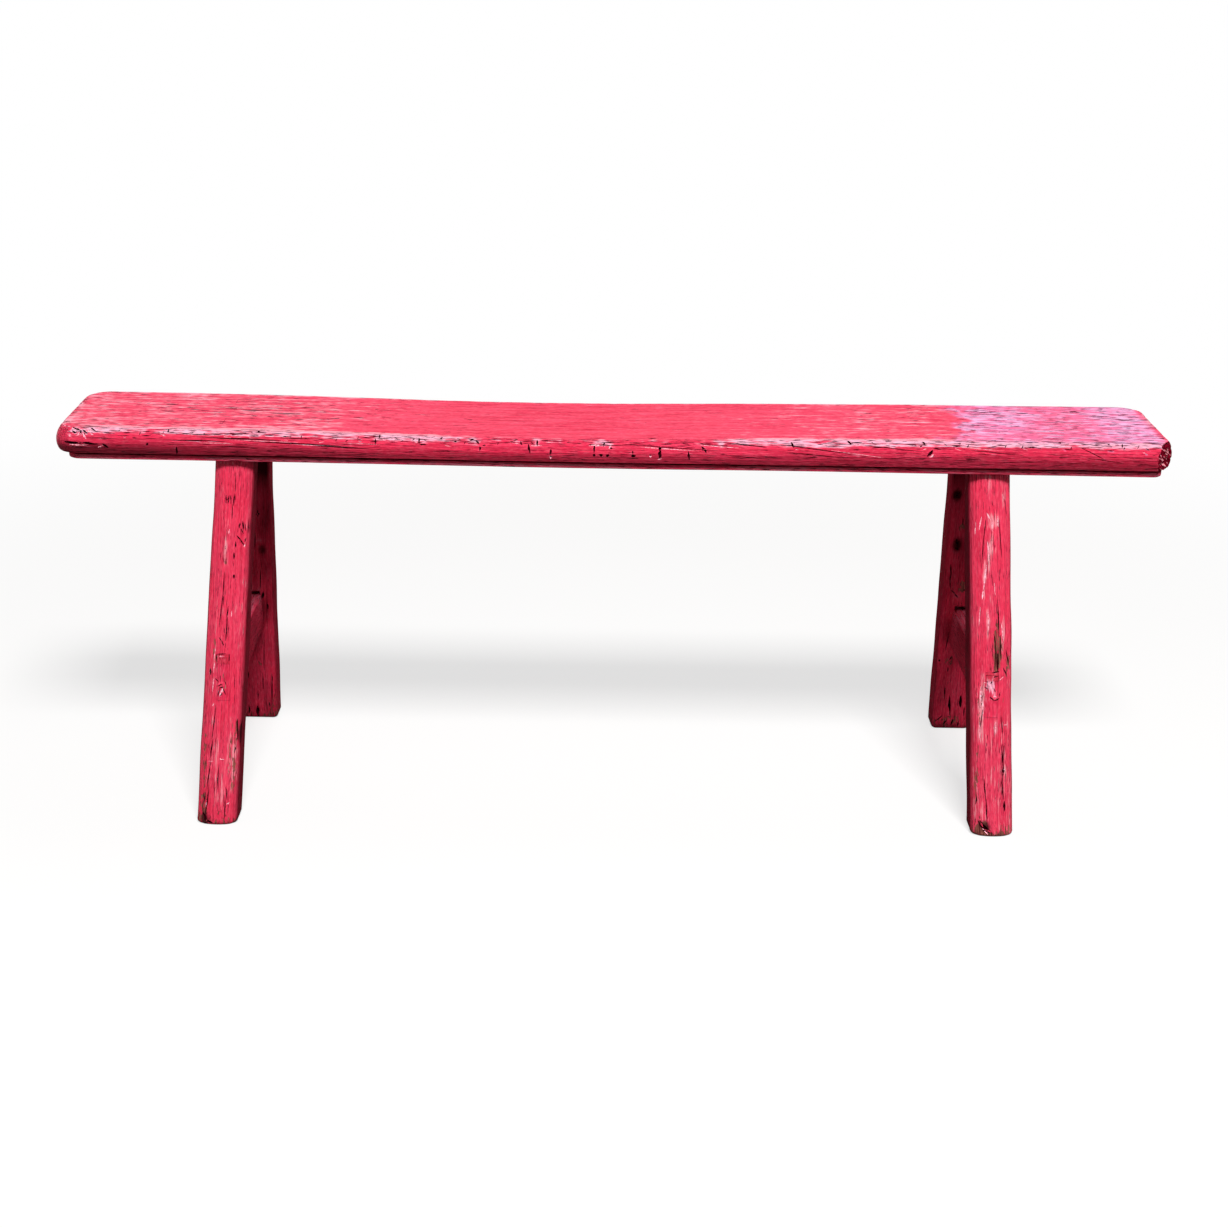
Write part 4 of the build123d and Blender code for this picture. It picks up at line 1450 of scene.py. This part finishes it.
for (side, row), marks in leg_marks.items():
    joined = (rails[side], rail_wedges[side, row])
    if (side, row) in leg_chips:
        cut_all(legs[side, row], cut_marks_in_leg(leg_chips[side, row], side, row), ground_coat_and_glints, joined)
    cut_all(legs[side, row], cut_marks_in_leg(marks, side, row), old_wood, joined)
    cutters = cut_marks_in_leg(inner_marks.get((side, row), []), side, row, on_inner_face)
    for number in range(leg_scatter):
        height = 25 + number * 26 + luck.uniform(-9, 9)
        u = luck.uniform(-18, 18)
        v = luck.uniform(-14, 12)
        faces = {"inner": ((u, -leg_depth[0] / 2), (0, -row, 0)),
                 "left": ((-leg_width[0] / 2, v), (-row, 0, 0)),
                 "right": ((leg_width[0] / 2, v), (row, 0, 0))}
        (u, v), outward = faces[("inner", "left", "right")[number % 3]]
        place = stand_on_leg(u, v, height, side, row)
        cutters.append(gouge(place, up_the_leg(side, row), outward, luck.uniform(8, 46),
                             luck.uniform(1.2, 2.2), luck.uniform(1.4, 2.6)))
        mark_places.append(place)
    cut_all(legs[side, row], cutters)
    print(legs[side, row].name, len(legs[side, row].data.polygons), "faces")

# %% [markdown]
# Now comes the make-up: every point of every piece gets its *grain* place and how worn, bare,
# dirty and shaded, bleached and checked it is, with painted highlights and painted shade among
# them. On the seat the fibres run along X, on a leg they run up the leg, and on a rail across
# the bench. A tree of all the marks tells how near the closest one is, because the paint is
# made pale round each of them, partly as rubbed paint and partly as a painted glint.

# %% Painting the wear
def lay_on(piece, looks):
    """Stores the numbers that the paint reads; looks gives them for one point, in mm."""
    grain = []
    titles = ("worn", "bare", "dirt_and_shade", "bloom_and_sheen", "checked")
    values = {title: [] for title in titles}
    for point in piece.data.vertices:
        place = Vector(point.co) / mm
        fibre, look = looks(place, point.normal)
        grain.extend(value * mm for value in fibre)
        for title in titles:
            values[title].append(min(1.0, max(0.0, look.get(title, 0.0))))
    layer = piece.data.attributes.new("grain", "FLOAT_VECTOR", "POINT")
    layer.data.foreach_set("vector", grain)
    for title in titles:
        layer = piece.data.attributes.new(title, "FLOAT", "POINT")
        layer.data.foreach_set("value", values[title])


def dab(place, centre, radii):
    """A soft round dab of make-up: 1 at its centre and 0 at its edge."""
    far = sum(((place[axis] - centre[axis]) / radii[axis]) ** 2 for axis in range(3)) ** 0.5
    return 1 - smooth_step(far, 0.35, 1.0)


marks = KDTree(len(mark_places))
for number, place in enumerate(mark_places):
    marks.insert(place, number)
marks.balance()
print("marks that the paint is rubbed round:", len(mark_places))


def nearest_mark(place):
    """How far it is to the closest mark, in mm."""
    return marks.find(place)[2]


# %% [markdown]
# On the seat, the worn slope along the top edge is rubbed the palest and carries a painted
# highlight, except round the middle, where the gloss has been kept. The flat of the top is
# faded on both sides of the middle, with a painted sheen in its pale, split over the left
# legs, and turned to lilac chalk over the right ones and beyond, with a painted sheen there
# too. The lower half of the nose and the groove get painted shade, and the lip below them is
# painted pale, painted light on a part that lies in the nose's shadow.

# %% Looks of the seat
# Round a mark the paint is made pale: partly rubbed paint, partly a painted glint.
mark_halo = 7  # how far round a mark the paint is rubbed, in mm


def wide_grain(y):
    """Across the flat of the board the figure is laid out 2.8 times as wide as it really is,
    because the finest of it would not show from where people stand."""
    flat = seat_width / 2 - 12
    spread = 0.36
    return y * spread if abs(y) < flat else (abs(y) - flat + spread * flat) * (1 if y > 0 else -1)


def seat_looks(place, normal):
    x, y, z = place
    row = FRONT if y < 0 else BACK
    below = seat_height - hollow(x) - sag(x) - z
    inset = seat_width / 2 - abs(y)
    end_inset = seat_length / 2 - abs(x)
    wander = noise.noise(Vector((x / 37, y / 30, z / 11)))
    flicker = noise.noise(Vector((x / 9, y / 14, z / 5)))
    look = {"worn": 0.10 + 0.16 * wander, "checked": 0.16 + 0.1 * wander, "dirt_and_shade": 0.0}

    edge = min(inset, end_inset)
    # The pale band on the worn slope is rubbed paint and a painted highlight of the edge together.
    wide = 1.2 * smooth_step(x, 60, 200) * (1 - 0.8 * smooth_step(x, 260, 400))
    on_slope = 1 - smooth_step(below, 5.4 + wide, 8.2 + wide + 2 * wander)
    on_slope *= 1 - smooth_step(edge, 12, 15.5 + flicker)
    if row == FRONT:
        kept = smooth_step(x, -170, -130) * (1 - smooth_step(x, 100, 170))
        right_end = smooth_step(x, 120, 420)
        rub_and_gleam = 0.66 - 0.5 * kept + 0.2 * right_end
    else:
        rub_and_gleam = 0.5
    if row == FRONT and x < 0:
        rub_and_gleam *= smooth_step(x, -668, -640)
    if end_inset < inset:
        rub_and_gleam = 0.14
    look["worn"] += on_slope * (rub_and_gleam + 0.25 * wander + 0.3 * flicker)
    look["checked"] += 0.18 * on_slope
    on_flat = normal.z > 0.9 or (below < 2 and edge > 20)
    if on_flat and z > seat_underside + 20:
        # On the flat, the pale is partly rubbed paint and partly a painted sheen of the sky.
        rubbed = 0.05 + 0.34 * smooth_step(x, 60, 300) + 0.42 * smooth_step(-x, 180, 420)
        look["worn"] += rubbed + 0.12 * flicker
        over_left_legs = dab(place, (-430, 5, z), (190, 75, 9))
        look["checked"] += 0.12 * over_left_legs + 0.04 * smooth_step(abs(x), 300, 500)
        look["checked"] -= 0.06 + 0.06 * (1 - smooth_step(abs(x - 60), 120, 300))
        border = x - 0.12 * y + 26 * wander + 16 * flicker
        # The lilac on the right is partly real chalking of the paint and partly a painted sheen of the sky.
        chalk_and_sheen = 0.52 + 0.26 * dab(place, (480, 20, z), (75, 120, 9)) + 0.28 * smooth_step(x, 590, 650)
        chalk_and_sheen *= smooth_step(border, 424, 452) * (1 - smooth_step(x, 680, 694))
        look["bloom_and_sheen"] = chalk_and_sheen * (1 + 0.3 * flicker)
        look["checked"] += 0.2 * chalk_and_sheen
    elif row == FRONT and inset < 12:
        # the lower half of the nose faces down and gets painted shade, most of all at the left end
        left_end = 1 - smooth_step(x, -620, -250)
        low = smooth_step(below, 12, 26)
        look["dirt_and_shade"] = low * (0.42 + 0.22 * left_end) + 0.03 * left_end * smooth_step(below, 6, 12)
        look["checked"] += 0.10 * low
    far = nearest_mark(place)
    if far < mark_halo:
        look["worn"] += 0.42 * (1 - far / mark_halo)
    # the left end has had the hardest knocks: it is pale above, and painted darker below
    look["worn"] += 0.3 * dab(place, (-661, -95, 489), (24, 20, 10))
    look["dirt_and_shade"] += (0.16 * dab(place, (-664, -98, 466), (46, 12, 9))
                      + 0.1 * dab(place, (-590, -98, 466), (40, 12, 7)))
    level = z + sag(x) - seat_underside
    # painted shade in the groove, and painted light on the lip below it, which lies in the nose's shadow
    if level < 9.3:
        in_groove = smooth_step(level, 5.7, 6.9)
        look["dirt_and_shade"] = 0.78 * in_groove
        look["worn"] += 0.6 * (1 - in_groove)
    # painted shade on the underside of the board
    if normal.z < -0.9:
        look["dirt_and_shade"] = 0.35
    return (x, wide_grain(y), z), look


lay_on(seat, seat_looks)
print("seat painted:", [layer.name for layer in seat.data.attributes][-6:])

# %% [markdown]
# A leg is rubbed along its arrises and bare at the floor, and darker in the last few mm above
# it. Painted shade darkens its side and inner faces, its inner arris and the band close under
# the board, and a thin pale ring below that band is a painted highlight. The spots in the table
# are laid over that, on the faces that look to the front: the outer face of a front leg and
# the inner face of a back one.

# %% Looks of the legs
leg_mark_halo = 6


def leg_looks_for(side, row):
    """The looks of one leg: each leg has a seed, so that no two are rubbed alike."""
    seed = 300 * side + 110 * row

    def looks(place, normal):
        x, y, z = place
        if z > seat_height - 8:
            return seat_looks(place, normal)
        u = row * (x - leg_x(side, z))
        v = row * y - leg_reach(z)
        out = normal.y * row
        wander = noise.noise(Vector((u / 16 + seed, v / 16, z / 48)))
        flicker = noise.noise(Vector((u / 5 + seed, v / 5, z / 13)))
        look = {"worn": 0.2 + 0.24 * wander + 0.16 * flicker, "checked": 0.12 + 0.16 * wander,
                "bare": 0.1 * wander}
        corner = smooth_step(abs(u), 17, 24) * smooth_step(abs(v), 12, 19)
        look["worn"] += 0.12 * corner
        # painted light: the lower part of the front right leg is painted paler
        if (side, row) == (RIGHT, FRONT):
            look["worn"] += 0.24 * (1 - smooth_step(z, 80, 240))
        look["bare"] += 0.45 * (1 - smooth_step(z, 2, 26 + 30 * wander))
        side_face = 1 - smooth_step(abs(out), 0.35, 0.8)
        inner_face = smooth_step(-out, 0.3, 0.9)
        look["bare"] += 0.15 * side_face
        look["worn"] *= 1 - 0.7 * max(side_face, inner_face)
        # painted shade on the side and inner faces, deepest high up under the board and on the left legs
        shade = 0.44 * smooth_step(z, 200, 330) + 0.36 * smooth_step(z, 340, 430)
        shade += 0.14 if side == LEFT else 0
        look["dirt_and_shade"] = 0.42 * side_face + inner_face * (shade + 0.35 * wander)
        # painted shade along the inner edge of the front face, where its rounded arris turns from the light
        look["dirt_and_shade"] += 0.3 * smooth_step(side * u, 17, 23)
        # darker in the last few mm above the floor, and painted shade in the band just under the board
        look["dirt_and_shade"] += 0.4 * (1 - smooth_step(z, 0, 6)) + 0.35 * smooth_step(z, 440, 449)
        # a thin ring painted pale just under the board, a painted highlight at the edge of its shadow
        look["worn"] += 0.25 * smooth_step(z, 443, 445) * (1 - smooth_step(z, 446, 448))
        if normal.y < -0.3:
            for title, spot_x, height, half_width, half_height, amount in leg_spots[side, row]:
                spot = dab((x, 0, z), (spot_x, 0, height), (half_width, 1, half_height))
                look[title] = look.get(title, 0) + amount * spot
        # pale round a mark: partly rubbed paint, partly a painted glint
        far = nearest_mark(place)
        if far < leg_mark_halo:
            look["worn"] += 0.22 * (1 - far / leg_mark_halo)
        return (z + seed, u, v), look

    return looks


leg_looks = {place: leg_looks_for(*place) for place in corners}
for place, piece in legs.items():
    lay_on(piece, leg_looks[place])
    lay_on(leg_wedges[place], leg_looks[place])
print("legs and their wedges painted:", len(leg_looks))

# %% [markdown]
# A rail gets painted shade, since it lies under the board and between the legs. Only its top
# and its upper back end are painted bright: partly wear where feet rest, and partly painted
# light where light reaches past the board.

# %% Looks of the rails
def rail_looks(place, normal):
    """A rail's own looks, and on the ends of its tenons and wedges those of the leg around them."""
    x, y, z = place
    if abs(y) > outer_reach(z) - 3:
        return leg_looks[LEFT if x < 0 else RIGHT, FRONT if y < 0 else BACK](place, normal)
    wander = noise.noise(Vector((x / 16, y / 40, z / 16)))
    # painted shade over the whole rail
    look = {"worn": 0.1 + 0.2 * wander, "checked": 0.2, "dirt_and_shade": 0.34 + 0.3 * wander, "bare": 0.2 * wander}
    upward = smooth_step(normal.z, 0.2, 0.8)
    # painted light on the top and on the upper back end, which lie out of the board's shadow
    lit_and_rubbed = max(upward, smooth_step(y, 40, 80) * smooth_step(z, 170, 192))
    look["worn"] += 0.5 * lit_and_rubbed
    look["dirt_and_shade"] *= 1 - 0.9 * lit_and_rubbed
    return (y, x, z), look


for piece in [*rails.values(), *rail_wedges.values()]:
    lay_on(piece, rail_looks)
print("rails and their wedges painted:", len(rails) + len(rail_wedges))

# %% [markdown]
# Three places wear one of the matt paints. The shaded copy goes on what lies under the board
# and in its groove, and on the side and inner faces of the legs and rails, to keep their shade
# dark. The flat of the top, which the sun has bleached, gets the paler copy with its painted
# sheen.

# %% The matt paints
def repaint(piece, slot, chosen):
    """Gives some painted faces another of the paints; chosen picks them by place and facing."""
    for face in piece.data.polygons:
        if face.material_index == paint_slot and chosen(face.center / mm, face.normal):
            face.material_index = slot


repaint(seat, dull_slot, lambda place, facing: facing.z < -0.5 or place.z < seat_underside + 9)
for (side, row), piece in legs.items():
    repaint(piece, dull_slot, lambda place, facing: facing.y * row < 0.45 and facing.z < 0.8)
for piece in rails.values():
    repaint(piece, dull_slot, lambda place, facing: abs(place.y) < outer_reach(place.z) - 3)
for piece in (seat, *legs.values(), *leg_wedges.values()):
    repaint(piece, bleached_and_sheen_slot, lambda place, facing: facing.z > 0.93 and place.z > seat_height - 12)
dull_faces = sum(face.material_index == dull_slot for face in seat.data.polygons)
print("seat:", dull_faces, "dull faces of", len(seat.data.polygons))

# %% [markdown]
# To finish, every piece is shaded smooth except across its sharp edges, so that the cuts stay
# crisp. Each one hides the imported solid that it stands for, and is hung on the body that it
# moves with. A bench has no moving parts, so there is one body.

# %% Finishing the pieces
finished = {"seat_plank": seat, "left_cross_rail": rails[LEFT], "right_cross_rail": rails[RIGHT]}
for side, row in corners:
    place = f"{row_name[row]}_{side_name[side]}"
    finished[f"{place}_leg"] = legs[side, row]
    finished[f"{place}_leg_wedge"] = leg_wedges[side, row]
    finished[f"{place}_rail_wedge"] = rail_wedges[side, row]
bpy.data.objects.remove(gouge_shape)

points = 0
for node, piece in finished.items():
    take(piece)
    bpy.ops.object.transform_apply(location=True, rotation=True, scale=True)
    bpy.ops.object.shade_smooth_by_angle(angle=radians(33))
    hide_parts(node)
    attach(piece, "root")
    points += len(piece.data.vertices)
print(len(finished), "pieces,", points, "points in all")
